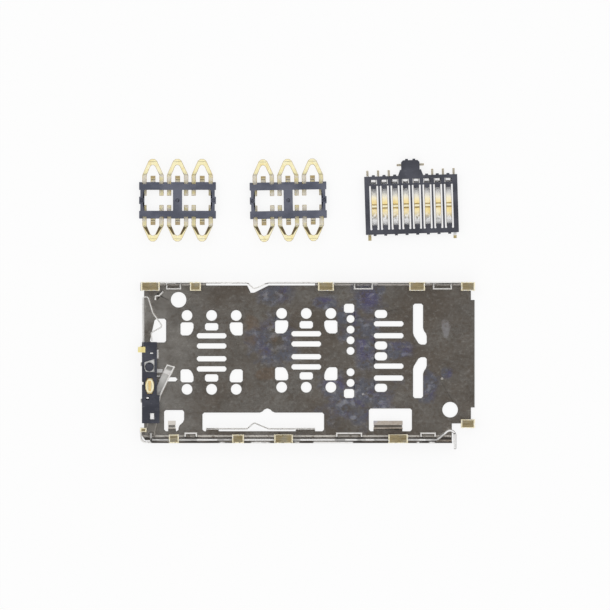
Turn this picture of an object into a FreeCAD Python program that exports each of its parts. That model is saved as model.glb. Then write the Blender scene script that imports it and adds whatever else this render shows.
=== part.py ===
# Card reader set of a phone, laid out with its solder side up: a stamped steel shell that lies on its
# roof, with push rod, eject lever and card switch, two SIM contact blocks and a microSD contact block.
# Millimetres. +X points to the tray's mouth, +Z up. The origin is the middle of the set's base.
import FreeCAD, Part
import operator
import os
import Sketcher
from FreeCAD import Placement, Rotation, Vector
from types import SimpleNamespace

SIZES = {
    # Shell, one bent sheet
    "shell_length": 34.5,
    "shell_depth": 16.6,
    "shell_height": 1.4,
    "shell_gauge": 0.15,
    "shell_bend": 0.12,
    "punch_corner": 0.17,
    "left_inset": 0.38,
    "cut_margin": 0.5,
    # Solder feet on top of the walls: place along the shell and width
    "foot_reach": 0.9,
    "foot_tl_x": 1.06,
    "foot_tl_width": 1.95,
    "foot_tm_gap": 0.505,
    "foot_tm_width": 1.15,
    "foot_tc_x": 1.9,
    "foot_tc_width": 1.65,
    "foot_tn_x": 5.96,
    "foot_tn_width": 1.65,
    "foot_tr_x": 0.72,
    "foot_tr_width": 1.44,
    "foot_bl_x": 3.48,
    "foot_bl_width": 1.05,
    "foot_bm_x": -7.16,
    "foot_bm_width": 1.25,
    "foot_bc_x": -2.47,
    "foot_bc_width": 1.95,
    "foot_bn_x": 9.33,
    "foot_bn_width": 2.05,
    "foot_end_reach": 1.45,
    "foot_end_width": 0.9,
    # Right end of the roof and of the lower wall
    "mouth_step": 0.38,
    "mouth_step_top": 1.85,
    "mouth_step_low": 3.65,
    "mouth_notch_x": 2.35,
    "mouth_notch_y": 2.0,
    # Holes that locate the shell on its fixture
    "locate_bore": 1.6,
    "locate_left_x": 3.94,
    "locate_left_y": 1.83,
    "locate_right_x": 2.53,
    "locate_right_y": 3.42,
    # SIM hole groups in the roof
    "sim_pitch": 2.54,
    "sim_rows": 7.62,
    "group_a_x": 7.35,
    "group_b_x": -0.13,
    "group_a_y": 1.04,
    "group_b_y": 1.25,
    "group_bore": 1.1,
    "group_square": 1.34,
    "group_square_y": 2.42,
    "group_cut_x": 0.36,
    "group_cut_y": 0.6,
    "group_bar_length": 1.37,
    "group_bar_width": 0.75,
    "group_bar_y": 2.64,
    "slot_length": 3.05,
    "slot_width": 0.54,
    "slot_far_y": 1.71,
    "slot_near_y": 0.66,
    # microSD holes in the roof
    "sd_pitch": 1.1,
    "column_x": 4.44,
    "column_y": 1.19,
    "column_bore": 0.8,
    "column_end_x": 4.29,
    "column_end_length": 1.05,
    "column_end_width": 0.92,
    "oval_x": 7.58,
    "oval_length": 1.28,
    "oval_width": 0.84,
    "oval_round": 0.38,
    "oval_far_y": 3.81,
    "oval_near_y": 0.56,
    "sd_slot_x": 8.38,
    "sd_slot_far_y": 2.8,
    "sd_slot_near_y": 1.57,
    "jog_left_x": 10.9,
    "jog_width": 1.02,
    "jog_shift": 0.38,
    "jog_foot_x": 0.64,
    "jog_top_y": 4.87,
    "jog_bend_y": 2.2,
    "jog_knee_y": 1.7,
    "jog_end_y": 0.66,
    # Holes at the left end of the roof
    "spring_hole_x": 0.95,
    "spring_hole_length": 1.7,
    "spring_hole_low": 7.6,
    "spring_hole_width": 2.45,
    "spring_hole_slant": 0.55,
    "guide_slot_x": 0.7,
    "guide_slot_length": 1.85,
    "guide_slot_y": 3.58,
    "guide_slot_width": 0.42,
    # Cut-outs along the lower wall
    "channel_width": 1.2,
    "cut_a_x": 2.45,
    "cut_a_length": 2.06,
    "cut_a_top": 3.38,
    "cut_a_nick_x": 0.58,
    "cut_a_nick_low": 1.72,
    "cut_a_nick_high": 2.23,
    "cut_b_x": -10.84,
    "cut_b_length": 12.54,
    "cut_b_top": 3.12,
    "cut_b_bump_x": -4.14,
    "cut_b_bump_base": 1.2,
    "cut_b_bump_nose": 0.45,
    "cut_b_bump_height": 0.42,
    "cut_c_x": 6.34,
    "cut_c_length": 4.43,
    "cut_c_top": 3.54,
    # Detent springs, one in each side
    "detent_x": -5.52,
    "detent_left": 4.95,
    "detent_right": 6.3,
    "detent_rise": 0.62,
    "detent_front": 0.7,
    "detent_back": 1.5,
    "detent_bend": 0.25,
    "detent_low": 0.5,
    "detent_high": 1.15,
    "detent_gap": 0.2,
    "detent_room": 0.95,
    "detent_leg_left": 1.3,
    "detent_leg_right": 2.0,
    "detent_set_in": 0.27,
    # Tray rails bent up from the cut-outs
    "rail_height": 1.1,
    "rail_lip": 0.75,
    "rail_flat": 0.32,
    "rail_drop": 0.22,
    "rail_bend": 0.1,
    "rail_set_in": 0.35,
    "rail_a_x": 2.87,
    "rail_a_length": 0.8,
    "rail_c_x": 6.8,
    "rail_c_length": 3.0,
    # Lanced guides beside the walls: place and length
    "guide_height": 0.95,
    "guide_back": 1.07,
    "guide_front": 0.62,
    "guide_left_x": 4.56,
    "guide_left_length": 1.3,
    "guide_middle_x": 2.94,
    "guide_middle_length": 2.7,
    "guide_right_x": 5.62,
    "guide_right_length": 1.6,
    "stop_height": 0.6,
    "stop_reach": 0.75,
    "stop_left_x": 2.66,
    "stop_left_length": 1.55,
    "stop_middle_x": 4.79,
    "stop_middle_length": 1.96,
    "stop_right_x": 4.31,
    "stop_right_length": 1.96,
    "tongue_x": 1.55,
    "tongue_y": 1.4,
    "tongue_run": 0.8,
    "tongue_drop": 0.45,
    "tongue_height": 0.6,
    # Lugs on the left side that hold the switch housing
    "lug_height": 1.1,
    "lug_width": 0.4,
    "lug_top_y": 7.05,
    "lug_middle_y": 5.35,
    "lug_low_y": 1.6,
    "corner_radius": 0.5,
    "corner_foot_low": 1.14,
    "corner_foot_reach": 0.68,
    "corner_foot_width": 0.45,
    "clip_y": 5.95,
    "clip_length": 0.9,
    # Push rod
    "rod_gauge": 0.25,
    "rod_low": 0.32,
    "rod_high": 1.12,
    "rod_gap": 0.055,
    "rod_bend": 0.2,
    "rod_tail_x": 1.11,
    "rod_tail_reach": 0.62,
    "hook_start_x": 3.9,
    "hook_crest_x": 2.75,
    "hook_crest_rise": 0.95,
    "hook_leg_x": 2.04,
    "hook_reach": 0.62,
    "hook_start_bend": 0.4,
    "hook_crest_bend": 0.45,
    "hook_bend": 0.5,
    # Eject lever, about its pivot
    "pivot_x": 1.25,
    "pivot_reach": 2.0,
    "lever_low": 0.22,
    "lever_gauge": 0.25,
    "lever_flange_top": 0.75,
    "lever_bore": 0.66,
    "lever_boss": 0.5,
    "lever_knee_x": 0.85,
    "lever_knee_y": 2.1,
    "lever_elbow_x": 1.7,
    "lever_elbow_y": 3.85,
    "lever_tip_x": 2.35,
    "lever_tip_y": 5.1,
    "lever_width": 0.85,
    "lever_flange": 0.15,
    "lever_tip_rise": 0.28,
    "lever_tip_length": 0.62,
    "lever_rim": 0.12,
    "fork_x": -0.13,
    "fork_gap": 0.46,
    "fork_prong": 0.16,
    "fork_depth": 0.48,
    "fork_end": 2.08,
    # Rivet
    "rivet_shank": 0.6,
    "rivet_head": 0.95,
    "rivet_head_height": 0.12,
    "rivet_play": 0.04,
    # Switch housing, heights from the roof, lengths along the left side from the pivot
    "housing_left": 0.19,
    "housing_width": 1.54,
    "housing_foot_width": 1.8,
    "housing_top_y": 7.65,
    "housing_step_y": 2.17,
    "housing_low_y": 0.72,
    "housing_top": 1.3,
    "relief_x": 0.5,
    "relief_y": 5.8,
    "relief_top": 0.8,
    "slit_x": 1.19,
    "slit_y": 6.5,
    "slit_length": 0.36,
    "slit_width": 0.2,
    "side_pocket_y": 3.4,
    "side_pocket_length": 0.42,
    "side_pocket_width": 0.24,
    "end_pocket_x": 0.78,
    "end_pocket_y": 1.85,
    "end_pocket": 0.34,
    "recess_depth": 0.3,
    "recess_left": 0.4,
    "recess_width": 1.1,
    "recess_low": 4.54,
    "recess_height": 1.05,
    "recess_slant": 0.33,
    "peg_bore": 0.86,
    "plate_gauge": 0.1,
    "plate_play": 0.03,
    "oval_window_x": 0.99,
    "oval_window_y": 3.12,
    "oval_window_length": 1.7,
    "oval_window_width": 0.98,
    "contact_bar_length": 1.05,
    "contact_bar_width": 0.26,
    "contact_bar_height": 0.08,
    "rivet_window_length": 0.69,
    "rivet_window_width": 0.46,
    # Detect spring, a strip on edge
    "spring_gauge": 0.12,
    "spring_low": 0.35,
    "spring_high": 0.95,
    "spring_bend": 0.22,
    "spring_root": 0.7,
    "spring_leg_x": 0.3,
    "spring_rise": 4.65,
    "spring_top": 0.5,
    "spring_knee_x": 1.3,
    "spring_knee_y": 3.0,
    "spring_nose_x": 2.3,
    "spring_nose_y": 1.6,
    "spring_back_x": 1.12,
    "spring_back_y": 0.95,
    "spring_tip_x": 1.22,
    "spring_tip_y": 0.12,
    # Solder tail of the switch
    "tail_gauge": 0.1,
    "tail_width": 0.58,
    "tail_y": 6.87,
    "tail_reach": 0.22,
    "tail_root": 0.35,
    # SIM contact block
    "block_gap": 4.18,
    "block_a_x": -13.41,
    "block_b_x": -1.99,
    "block_b_tilt": 1.0,
    "frame_length": 7.92,
    "frame_width": 3.76,
    "frame_height": 0.6,
    "frame_middle_bar": 0.94,
    "frame_end_bar": 0.54,
    "frame_side_bar": 0.8,
    "frame_end_notch": 0.12,
    "frame_end_tooth": 0.75,
    "frame_leg_notch": 0.2,
    "frame_dimple": 0.42,
    "frame_dimple_depth": 0.15,
    "contact_gauge": 0.1,
    "contact_width": 2.2,
    "contact_leg": 0.44,
    "contact_flat": 0.72,
    "contact_reach": 2.37,
    "contact_nose_width": 0.86,
    "contact_nose_flat": 0.36,
    "contact_nose_corner": 0.2,
    "contact_nose_run": 0.28,
    "contact_nose_drop": 0.12,
    "contact_nose_depth": 0.62,
    "contact_throat": 0.54,
    "contact_throat_flat": 0.24,
    "contact_throat_corner": 0.16,
    "contact_rise": 0.95,
    "contact_bend": 0.12,
    "contact_tip": 0.6,
    "contact_tail": 0.66,
    "contact_tail_width": 0.5,
    # microSD contact block
    "sd_gap": 5.0,
    "sd_block_x": 10.73,
    "sd_block_tilt": 1.75,
    "sd_frame_length": 9.6,
    "sd_frame_width": 6.0,
    "sd_frame_height": 0.6,
    "sd_slot_open": 0.92,
    "sd_slot_top": 2.02,
    "sd_slot_low": 2.52,
    "sd_tongue_width": 0.52,
    "sd_tongue_top": 0.33,
    "sd_tongue_low": 0.48,
    "sd_tongue_under": 0.36,
    "sd_window_width": 0.7,
    "sd_window_low": 2.2,
    "sd_window_height": 0.46,
    "sd_nib_width": 0.3,
    "sd_nib_reach": 0.14,
    "sd_head_base": 2.6,
    "sd_head_neck": 2.16,
    "sd_head_width": 1.9,
    "sd_head_neck_y": 0.6,
    "sd_head_reach": 1.58,
    "sd_head_corner": 0.2,
    "sd_nub_x": 0.38,
    "sd_nub_width": 0.28,
    "sd_nub_reach": 0.14,
    "sd_strip_width": 0.58,
    "sd_strip_flat": 0.35,
    "sd_crest_y": -0.13,
    "sd_crest_run": 0.26,
    "sd_crest_slope": 0.14,
    "sd_crest_height": 0.8,
    "sd_shoulder_height": 0.66,
    "sd_end_height": 0.12,
    "sd_end_run": 0.3,
    "sd_end_y": 2.36,
    "sd_tail_shift": 0.6,
    "sd_tail_width": 0.22,
    "sd_tail_reach": 0.62,
    "sd_side_tail_y": 1.0,
    "sd_side_tail_end": 1.4,
    "sd_pin_x": 4.4,
    "sd_pin_width": 0.32,
    "sd_pin_root": 0.35,
    "sd_pin_reach": 0.6,
}

OPERATIONS = {"+": operator.add, "-": operator.sub, "*": operator.mul, "/": operator.truediv}


class Size:
    """A length that carries its number and the formula that gives it from the sheet."""

    def __init__(self, value, text):
        self.value = value
        self.text = text

    @staticmethod
    def of(number):
        return number if isinstance(number, Size) else Size(float(number), f"({float(number)!r})")

    def joined(self, sign, other):
        other = Size.of(other)
        value = OPERATIONS[sign](self.value, other.value)
        return Size(value, f"({self.text} {sign} {other.text})")

    def root(self):
        return Size(self.value ** 0.5, f"sqrt({self.text})")

    def __add__(self, other):
        return self.joined("+", other)

    def __radd__(self, other):
        return Size.of(other).joined("+", self)

    def __sub__(self, other):
        return self.joined("-", other)

    def __rsub__(self, other):
        return Size.of(other).joined("-", self)

    def __mul__(self, other):
        return self.joined("*", other)

    def __rmul__(self, other):
        return Size.of(other).joined("*", self)

    def __truediv__(self, other):
        return self.joined("/", other)

    def __neg__(self):
        return Size.of(0) - self


S = SimpleNamespace(**{alias: Size(value, f"Sizes.{alias}") for alias, value in SIZES.items()})
doc = FreeCAD.newDocument("CardReader")
bodies = []


def fill_sheet():
    """Write every size into the sheet under its own alias."""
    sheet = doc.addObject("Spreadsheet::Sheet", "Sizes")
    for row, (alias, value) in enumerate(SIZES.items(), 1):
        sheet.set(f"A{row}", alias)
        sheet.set(f"B{row}", str(value))
        sheet.setAlias(f"B{row}", alias)
    doc.recompute()


def new_body(label, x=0.0, y=0.0, turn=0.0):
    """Start a sub-part at its place in the set, turned about Z by degrees."""
    body = doc.addObject("PartDesign::Body", label)
    body.Label = label
    body.Placement = Placement(Vector(Size.of(x).value, Size.of(y).value, 0),
                               Rotation(Vector(0, 0, 1), Size.of(turn).value))
    bodies.append(body)
    return body


def sketch_on(body, name, role, lift=0.0):
    """A sketch on one of the body's own origin planes, lifted along the plane's normal."""
    sketch = body.newObject("Sketcher::SketchObject", name)
    plane = next(item for item in body.Origin.OriginFeatures if item.Role == role)
    sketch.AttachmentSupport = (plane, [""])
    sketch.MapMode = "FlatFace"
    lift = Size.of(lift)
    sketch.AttachmentOffset = Placement(Vector(0, 0, lift.value), Rotation())
    sketch.setExpression("AttachmentOffset.Base.z", lift.text)
    return sketch


def hold(sketch, targets):
    """Tie sketch points to the sheet; a target is a geometry number, its point and its X and Y."""
    rules = []
    formulas = []
    for geometry, point, x, y in targets:
        rules.append(Sketcher.Constraint("DistanceX", -1, 1, geometry, point, x.value))
        rules.append(Sketcher.Constraint("DistanceY", -1, 1, geometry, point, y.value))
        formulas += [x.text, y.text]
    for number, formula in zip(sketch.addConstraint(rules), formulas):
        sketch.setExpression(f"Constraints[{number}]", formula)


def round_corners(sketch, lines, radius):
    """Round the far end of each line into the next one, with the radius tied to the sheet."""
    first = len(sketch.Geometry)
    for line in lines:
        sketch.fillet(line, 2, radius.value, True, True)
    arcs = [n for n in range(first, len(sketch.Geometry)) if isinstance(sketch.Geometry[n], Part.ArcOfCircle)]
    rules = sketch.addConstraint([Sketcher.Constraint("Radius", arc, radius.value) for arc in arcs])
    for rule in rules:
        sketch.setExpression(f"Constraints[{rule}]", radius.text)


def draw_outline(sketch, corners, radius=None):
    """A closed outline of straight runs through the corners, which may be rounded; gives its lines."""
    corners = [(Size.of(x), Size.of(y)) for x, y in corners]
    points = [Vector(x.value, y.value, 0) for x, y in corners]
    runs = [Part.LineSegment(a, b) for a, b in zip(points, points[1:] + points[:1])]
    lines = sketch.addGeometry(runs, False)
    following = lines[1:] + lines[:1]
    sketch.addConstraint([Sketcher.Constraint("Coincident", a, 2, b, 1) for a, b in zip(lines, following)])
    hold(sketch, [(line, 1, x, y) for line, (x, y) in zip(lines, corners)])
    if radius is not None:
        round_corners(sketch, lines, radius)
    return lines


def box_corners(left, low, length, width):
    """Corners of a rectangle from its lower left one."""
    right = left + length
    top = low + width
    return [(left, low), (right, low), (right, top), (left, top)]


def clipped(corners):
    """The corners of a punched hole, each one cut off by the same reach along both of its sides."""
    ends = []
    for before, here, after in zip(corners[-1:] + corners[:-1], corners, corners[1:] + corners[:1]):
        for other in (before, after):
            run_x = other[0] - here[0]
            run_y = other[1] - here[1]
            share = S.punch_corner / (run_x * run_x + run_y * run_y).root()
            ends.append((here[0] + run_x * share, here[1] + run_y * share))
    return ends


def draw_box(sketch, left, low, length, width, radius=None):
    """A rectangle from its lower left corner."""
    draw_outline(sketch, box_corners(left, low, length, width), radius)


def draw_centred_box(sketch, x, y, length, width, radius=None):
    """A rectangle about its middle."""
    draw_box(sketch, x - length / 2, y - width / 2, length, width, radius)


def punch_box(sketch, x, y, length, width):
    """A punched rectangle about its middle, with clipped corners."""
    draw_outline(sketch, clipped(box_corners(x - length / 2, y - width / 2, length, width)))


def draw_circle(sketch, x, y, diameter):
    """A circle about a held centre."""
    x, y = Size.of(x), Size.of(y)
    circle = Part.Circle(Vector(x.value, y.value, 0), Vector(0, 0, 1), diameter.value / 2)
    number = sketch.addGeometry(circle, False)
    hold(sketch, [(number, 3, x, y)])
    rule = sketch.addConstraint(Sketcher.Constraint("Diameter", number, diameter.value))
    sketch.setExpression(f"Constraints[{rule}]", diameter.text)


def draw_bent_line(sketch, corners, bends):
    """An open line through the corners, with each inner corner rounded to its bend radius."""
    corners = [(Size.of(x), Size.of(y)) for x, y in corners]
    points = [Vector(x.value, y.value, 0) for x, y in corners]
    lines = sketch.addGeometry([Part.LineSegment(a, b) for a, b in zip(points, points[1:])], False)
    sketch.addConstraint([Sketcher.Constraint("Coincident", a, 2, b, 1) for a, b in zip(lines, lines[1:])])
    hold(sketch, [(line, 1, x, y) for line, (x, y) in zip(lines, corners)])
    hold(sketch, [(lines[-1], 2, *corners[-1])])
    for line, bend in zip(lines, bends):
        round_corners(sketch, [line], bend)


def add_feature(body, kind, name):
    """Start the body's next feature; faces aren't merged after it, which keeps the build quick."""
    feature = body.newObject(f"PartDesign::{kind}", name)
    feature.Refine = False
    return feature


def pad(body, sketch, length, name):
    """Raise the sketch along its normal."""
    feature = add_feature(body, "Pad", name)
    feature.Profile = sketch
    feature.Length = length.value
    feature.setExpression("Length", length.text)
    doc.recompute()


def cut(body, sketch, name, depth=None):
    """Cut the sketch downwards to a depth, or through all that lies below it."""
    before = body.Shape.Volume
    feature = add_feature(body, "Pocket", name)
    feature.Profile = sketch
    if depth is None:
        feature.Type = "ThroughAll"
    else:
        feature.Length = depth.value
        feature.setExpression("Length", depth.text)
    doc.recompute()
    if not feature.Shape.Volume < before:
        raise ValueError(f"{body.Label}: {name} cuts nothing")


def gather(body, sketches, name):
    """Bind several sketches of one plane into a single profile, so that one cut takes them all."""
    profile = body.newObject("PartDesign::SubShapeBinder", name)
    profile.Support = [(sketch, ("",)) for sketch in sketches]
    doc.recompute()
    return profile


def ribbon(body, name, corners, gauge, low, high, *bends):
    """A strip on edge along a bent line whose first run lies along X or Y; one bend may serve all corners."""
    route = sketch_on(body, f"{name}_route", "XY_Plane")
    inner_corners = len(corners) - 2
    draw_bent_line(route, corners, bends if len(bends) == inner_corners else bends * inner_corners)
    (x0, y0), (x1, y1) = [(Size.of(x), Size.of(y)) for x, y in corners[:2]]
    along_x = abs(x1.value - x0.value) > abs(y1.value - y0.value)
    if along_x:
        section = sketch_on(body, f"{name}_section", "YZ_Plane", x0)
        draw_box(section, y0 - gauge / 2, low, gauge, high - low)
    else:
        section = sketch_on(body, f"{name}_section", "XZ_Plane", -y0)
        draw_box(section, x0 - gauge / 2, low, gauge, high - low)
    feature = add_feature(body, "AdditivePipe", name)
    feature.Profile = section
    feature.Spine = (route, [])
    doc.recompute()


def round_edges(body, name, radius, chosen):
    """Round the edges of the body so far that the test picks."""
    base = body.Tip
    edges = [f"Edge{number}" for number, edge in enumerate(base.Shape.Edges, 1) if chosen(edge)]
    feature = add_feature(body, "Fillet", name)
    feature.Base = (base, edges)
    feature.Radius = radius.value
    feature.setExpression("Radius", radius.text)
    doc.recompute()


def runs_along(edge, axis):
    """Whether a straight edge lies along the axis."""
    if not isinstance(edge.Curve, Part.Line):
        return False
    start, end = (vertex.Point for vertex in edge.Vertexes)
    return (end - start).cross(axis).Length < 1e-6


X_AXIS = Vector(1, 0, 0)

# Places in the shell's own frame that its neighbours share
left_end = -S.shell_length / 2
right_end = S.shell_length / 2
wall_top = S.shell_depth / 2
wall_low = -S.shell_depth / 2
roof_left = left_end + S.left_inset
channel = wall_low + S.channel_width
rod_y = wall_low + S.shell_gauge + S.rod_gap + S.rod_gauge / 2
detent_left = S.detent_x - S.detent_left
detent_right = S.detent_x + S.detent_right
pivot_x = left_end + S.pivot_x
pivot_y = rod_y + S.rod_gauge / 2 + S.rod_tail_reach / 2 + S.pivot_reach


def sim_group_holes(shell, name, group_x, group_y):
    """Draw the pattern over one SIM contact block: bores, cut squares, bars and slots."""
    bores = sketch_on(shell, f"{name}_bores", "XY_Plane", S.shell_gauge)
    sketches = [bores]
    for side, side_name in ((1, "upper"), (-1, "lower")):
        squares = sketch_on(shell, f"{name}_{side_name}_squares", "XY_Plane", S.shell_gauge)
        slots = sketch_on(shell, f"{name}_{side_name}_slots", "XY_Plane", S.shell_gauge)
        for column in (-1, 0, 1):
            draw_circle(bores, group_x + S.sim_pitch * column, group_y + S.sim_rows / 2 * side, S.group_bore)
        for column in (-1, 1):
            middle_x = group_x + S.sim_pitch * column
            middle_y = group_y + S.group_square_y * side
            out = S.group_square / 2 * column
            far = S.group_square / 2 * side
            draw_outline(squares, clipped([
                (middle_x + out, middle_y + far), (middle_x - out, middle_y + far),
                (middle_x - out, middle_y - far + S.group_cut_y * side),
                (middle_x - out + S.group_cut_x * column, middle_y - far),
                (middle_x + out, middle_y - far)]))
        punch_box(slots, group_x, group_y + S.group_bar_y * side, S.group_bar_length, S.group_bar_width)
        for slot_y in (S.slot_far_y, S.slot_near_y):
            punch_box(slots, group_x, group_y + slot_y * side, S.slot_length, S.slot_width)
        sketches += [squares, slots]
    return sketches


def card_group_holes(shell):
    """Draw the pattern over the microSD contact block: a column of bores, ovals, slots and jogged slots."""
    bores = sketch_on(shell, "column_bores", "XY_Plane", S.shell_gauge)
    jogs = sketch_on(shell, "jogged_slots", "XY_Plane", S.shell_gauge)
    sketches = [bores, jogs]
    for row in (-3, -2, -1, 0, 2, 3):
        draw_circle(bores, S.column_x, S.column_y - S.sd_pitch * row, S.column_bore)
    for side, side_name in ((1, "upper"), (-1, "lower")):
        ovals = sketch_on(shell, f"{side_name}_ovals", "XY_Plane", S.shell_gauge)
        slots = sketch_on(shell, f"{side_name}_card_slots", "XY_Plane", S.shell_gauge)
        punch_box(ovals, S.column_end_x, S.column_y + S.sd_pitch * 4 * side,
                  S.column_end_length, S.column_end_width)
        for oval_y in (S.oval_far_y, S.oval_near_y):
            draw_centred_box(ovals, S.oval_x, S.column_y + oval_y * side,
                             S.oval_length, S.oval_width, S.oval_round)
        for slot_y in (S.sd_slot_far_y, S.sd_slot_near_y):
            punch_box(slots, S.sd_slot_x, S.column_y + slot_y * side, S.slot_length, S.slot_width)
        jog_right = S.jog_left_x + S.jog_width
        draw_outline(jogs, clipped([
            (S.jog_left_x, S.column_y + S.jog_top_y * side), (jog_right, S.column_y + S.jog_top_y * side),
            (jog_right, S.column_y + S.jog_bend_y * side),
            (jog_right + S.jog_shift, S.column_y + S.jog_knee_y * side),
            (jog_right + S.jog_shift, S.column_y + S.jog_end_y * side),
            (S.jog_left_x + S.jog_foot_x, S.column_y + S.jog_end_y * side),
            (S.jog_left_x, S.column_y + S.jog_knee_y * side)]))
        sketches += [ovals, slots]
    return sketches


def end_holes(shell):
    """Draw the locating holes and the holes at the left end."""
    locating = sketch_on(shell, "locating_holes", "XY_Plane", S.shell_gauge)
    draw_circle(locating, left_end + S.locate_left_x, wall_top - S.locate_left_y, S.locate_bore)
    draw_circle(locating, right_end - S.locate_right_x, wall_low + S.locate_right_y, S.locate_bore)
    holes = sketch_on(shell, "end_holes", "XY_Plane", S.shell_gauge)
    hole_left = left_end + S.spring_hole_x
    hole_low = pivot_y + S.spring_hole_low
    draw_outline(holes, clipped([
        (hole_left, hole_low), (hole_left + S.spring_hole_length, hole_low),
        (hole_left + S.spring_hole_length, hole_low + S.spring_hole_width),
        (hole_left + S.spring_hole_slant, hole_low + S.spring_hole_width)]))
    punch_box(holes, pivot_x + S.guide_slot_x + S.guide_slot_length / 2,
              pivot_y + S.guide_slot_y + S.guide_slot_width / 2, S.guide_slot_length, S.guide_slot_width)
    return [locating, holes]


def punch_channel(shell):
    """Punch the three cut-outs along the rod's channel."""
    cut_a = sketch_on(shell, "cut_a", "XY_Plane", S.shell_gauge)
    left_a = left_end + S.cut_a_x
    right_a = left_a + S.cut_a_length
    draw_outline(cut_a, clipped([
        (left_a, channel), (right_a - S.cut_a_nick_x, channel),
        (right_a - S.cut_a_nick_x, wall_low + S.cut_a_nick_low),
        (right_a, wall_low + S.cut_a_nick_high),
        (right_a, wall_low + S.cut_a_top), (left_a, wall_low + S.cut_a_top)]))
    cut_b = sketch_on(shell, "cut_b", "XY_Plane", S.shell_gauge)
    top_b = wall_low + S.cut_b_top
    draw_outline(cut_b, clipped([
        (S.cut_b_x, channel), (S.cut_b_x + S.cut_b_length, channel),
        (S.cut_b_x + S.cut_b_length, top_b),
        (S.cut_b_bump_x + S.cut_b_bump_base / 2, top_b),
        (S.cut_b_bump_x + S.cut_b_bump_nose / 2, top_b + S.cut_b_bump_height),
        (S.cut_b_bump_x - S.cut_b_bump_nose / 2, top_b + S.cut_b_bump_height),
        (S.cut_b_bump_x - S.cut_b_bump_base / 2, top_b),
        (S.cut_b_x, top_b)]))
    cut_c = sketch_on(shell, "cut_c", "XY_Plane", S.shell_gauge)
    draw_outline(cut_c, clipped(box_corners(
        S.cut_c_x, channel, S.cut_c_length, S.cut_c_top - S.channel_width)))
    cut(shell, gather(shell, [cut_a, cut_b, cut_c], "channel_holes"), "punch_channel_holes")


def shell_edges(shell):
    """Trim the sheet's rim: the left side, the mouth and the opening behind the upper detent."""
    margin = S.cut_margin
    rim = sketch_on(shell, "left_rim", "XY_Plane", S.shell_height)
    draw_outline(rim, [
        (left_end - margin, channel), (roof_left, channel),
        (roof_left, wall_top - S.foot_reach), (left_end - margin, wall_top - S.foot_reach)])
    roof_low = wall_low + S.shell_gauge + S.shell_bend
    draw_outline(rim, [
        (left_end - margin, wall_low - margin), (left_end + S.corner_radius * 2, wall_low - margin),
        (left_end + S.corner_radius * 2, roof_low), (left_end + S.corner_radius, roof_low),
        (left_end, wall_low + S.corner_radius * 2), (left_end - margin, wall_low + S.corner_radius * 2)])
    edge = wall_top - S.shell_gauge - S.detent_gap
    dip = wall_top - S.shell_gauge - S.detent_room
    draw_outline(rim, [
        (detent_left, edge), (S.detent_x - S.detent_front, edge), (S.detent_x - S.detent_front / 2, dip),
        (S.detent_x, dip), (S.detent_x + S.detent_back, edge), (detent_right, edge),
        (detent_right, wall_top + margin), (detent_left, wall_top + margin)])
    cut(shell, rim, "trim_left_rim")
    mouth = sketch_on(shell, "mouth_rim", "XY_Plane", S.shell_height)
    step = right_end - S.mouth_step
    draw_box(mouth, step, wall_top - S.mouth_step_top, S.mouth_step + margin, S.mouth_step_top - S.foot_reach)
    notch_x = right_end - S.mouth_notch_x
    notch_y = wall_low + S.mouth_notch_y
    draw_outline(mouth, [
        (notch_x, wall_low - margin), (right_end + margin, wall_low - margin),
        (right_end + margin, wall_low + S.mouth_step_low), (step, wall_low + S.mouth_step_low),
        (step, notch_y), (notch_x, notch_y)])
    cut(shell, mouth, "trim_mouth")


def shell_feet(shell):
    """Solder feet, bent inwards on top of the walls."""
    foot_low = S.shell_height - S.shell_gauge
    upper_feet = sketch_on(shell, "upper_feet", "XY_Plane", foot_low)
    upper = ((left_end + S.foot_tl_x, S.foot_tl_width),
             (detent_left - S.foot_tm_gap - S.foot_tm_width / 2, S.foot_tm_width),
             (S.foot_tc_x, S.foot_tc_width), (right_end - S.foot_tn_x, S.foot_tn_width),
             (right_end - S.foot_tr_x, S.foot_tr_width))
    for x, width in upper:
        draw_box(upper_feet, x - width / 2, wall_top - S.foot_reach, width, S.foot_reach)
    pad(shell, upper_feet, S.shell_gauge, "upper_solder_feet")
    lower_feet = sketch_on(shell, "lower_feet", "XY_Plane", foot_low)
    lower = ((left_end + S.foot_bl_x, S.foot_bl_width), (S.foot_bm_x, S.foot_bm_width),
             (S.foot_bc_x, S.foot_bc_width), (S.foot_bn_x, S.foot_bn_width))
    for x, width in lower:
        draw_box(lower_feet, x - width / 2, wall_low, width, S.foot_reach)
    pad(shell, lower_feet, S.shell_gauge, "lower_solder_feet")
    end_low = wall_low + S.mouth_notch_y - S.foot_end_width / 2
    end_rise = sketch_on(shell, "end_foot_side", "XZ_Plane", -end_low - S.foot_end_width)
    inner = right_end - S.shell_gauge
    draw_outline(end_rise, [
        (right_end - S.mouth_step, Size.of(0)), (right_end, Size.of(0)), (right_end, S.shell_height),
        (right_end - S.foot_end_reach, S.shell_height), (right_end - S.foot_end_reach, foot_low),
        (inner, foot_low), (inner, S.shell_gauge), (right_end - S.mouth_step, S.shell_gauge)])
    pad(shell, end_rise, S.foot_end_width, "end_solder_foot")


def shell_rails(shell):
    """Tray rails: bent up from the roof beside a cut-out and over at the top."""
    rails = (("rail_a", left_end + S.rail_a_x, S.rail_a_length), ("rail_c", S.rail_c_x, S.rail_c_length))
    for name, x, length in rails:
        side = sketch_on(shell, f"{name}_side", "YZ_Plane", x)
        back = channel + S.rail_set_in
        under = S.rail_height - S.shell_gauge
        lines = draw_outline(side, [
            (channel, Size.of(0)), (back, Size.of(0)), (back, under), (back + S.rail_flat, under),
            (back + S.rail_lip, under - S.rail_drop), (back + S.rail_lip, S.rail_height - S.rail_drop),
            (back + S.rail_flat, S.rail_height), (back - S.shell_gauge, S.rail_height),
            (back - S.shell_gauge, S.shell_gauge), (channel, S.shell_gauge)])
        round_corners(side, [lines[1]], S.rail_bend)
        round_corners(side, [lines[6]], S.rail_bend + S.shell_gauge)
        pad(shell, side, length, name)


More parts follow.
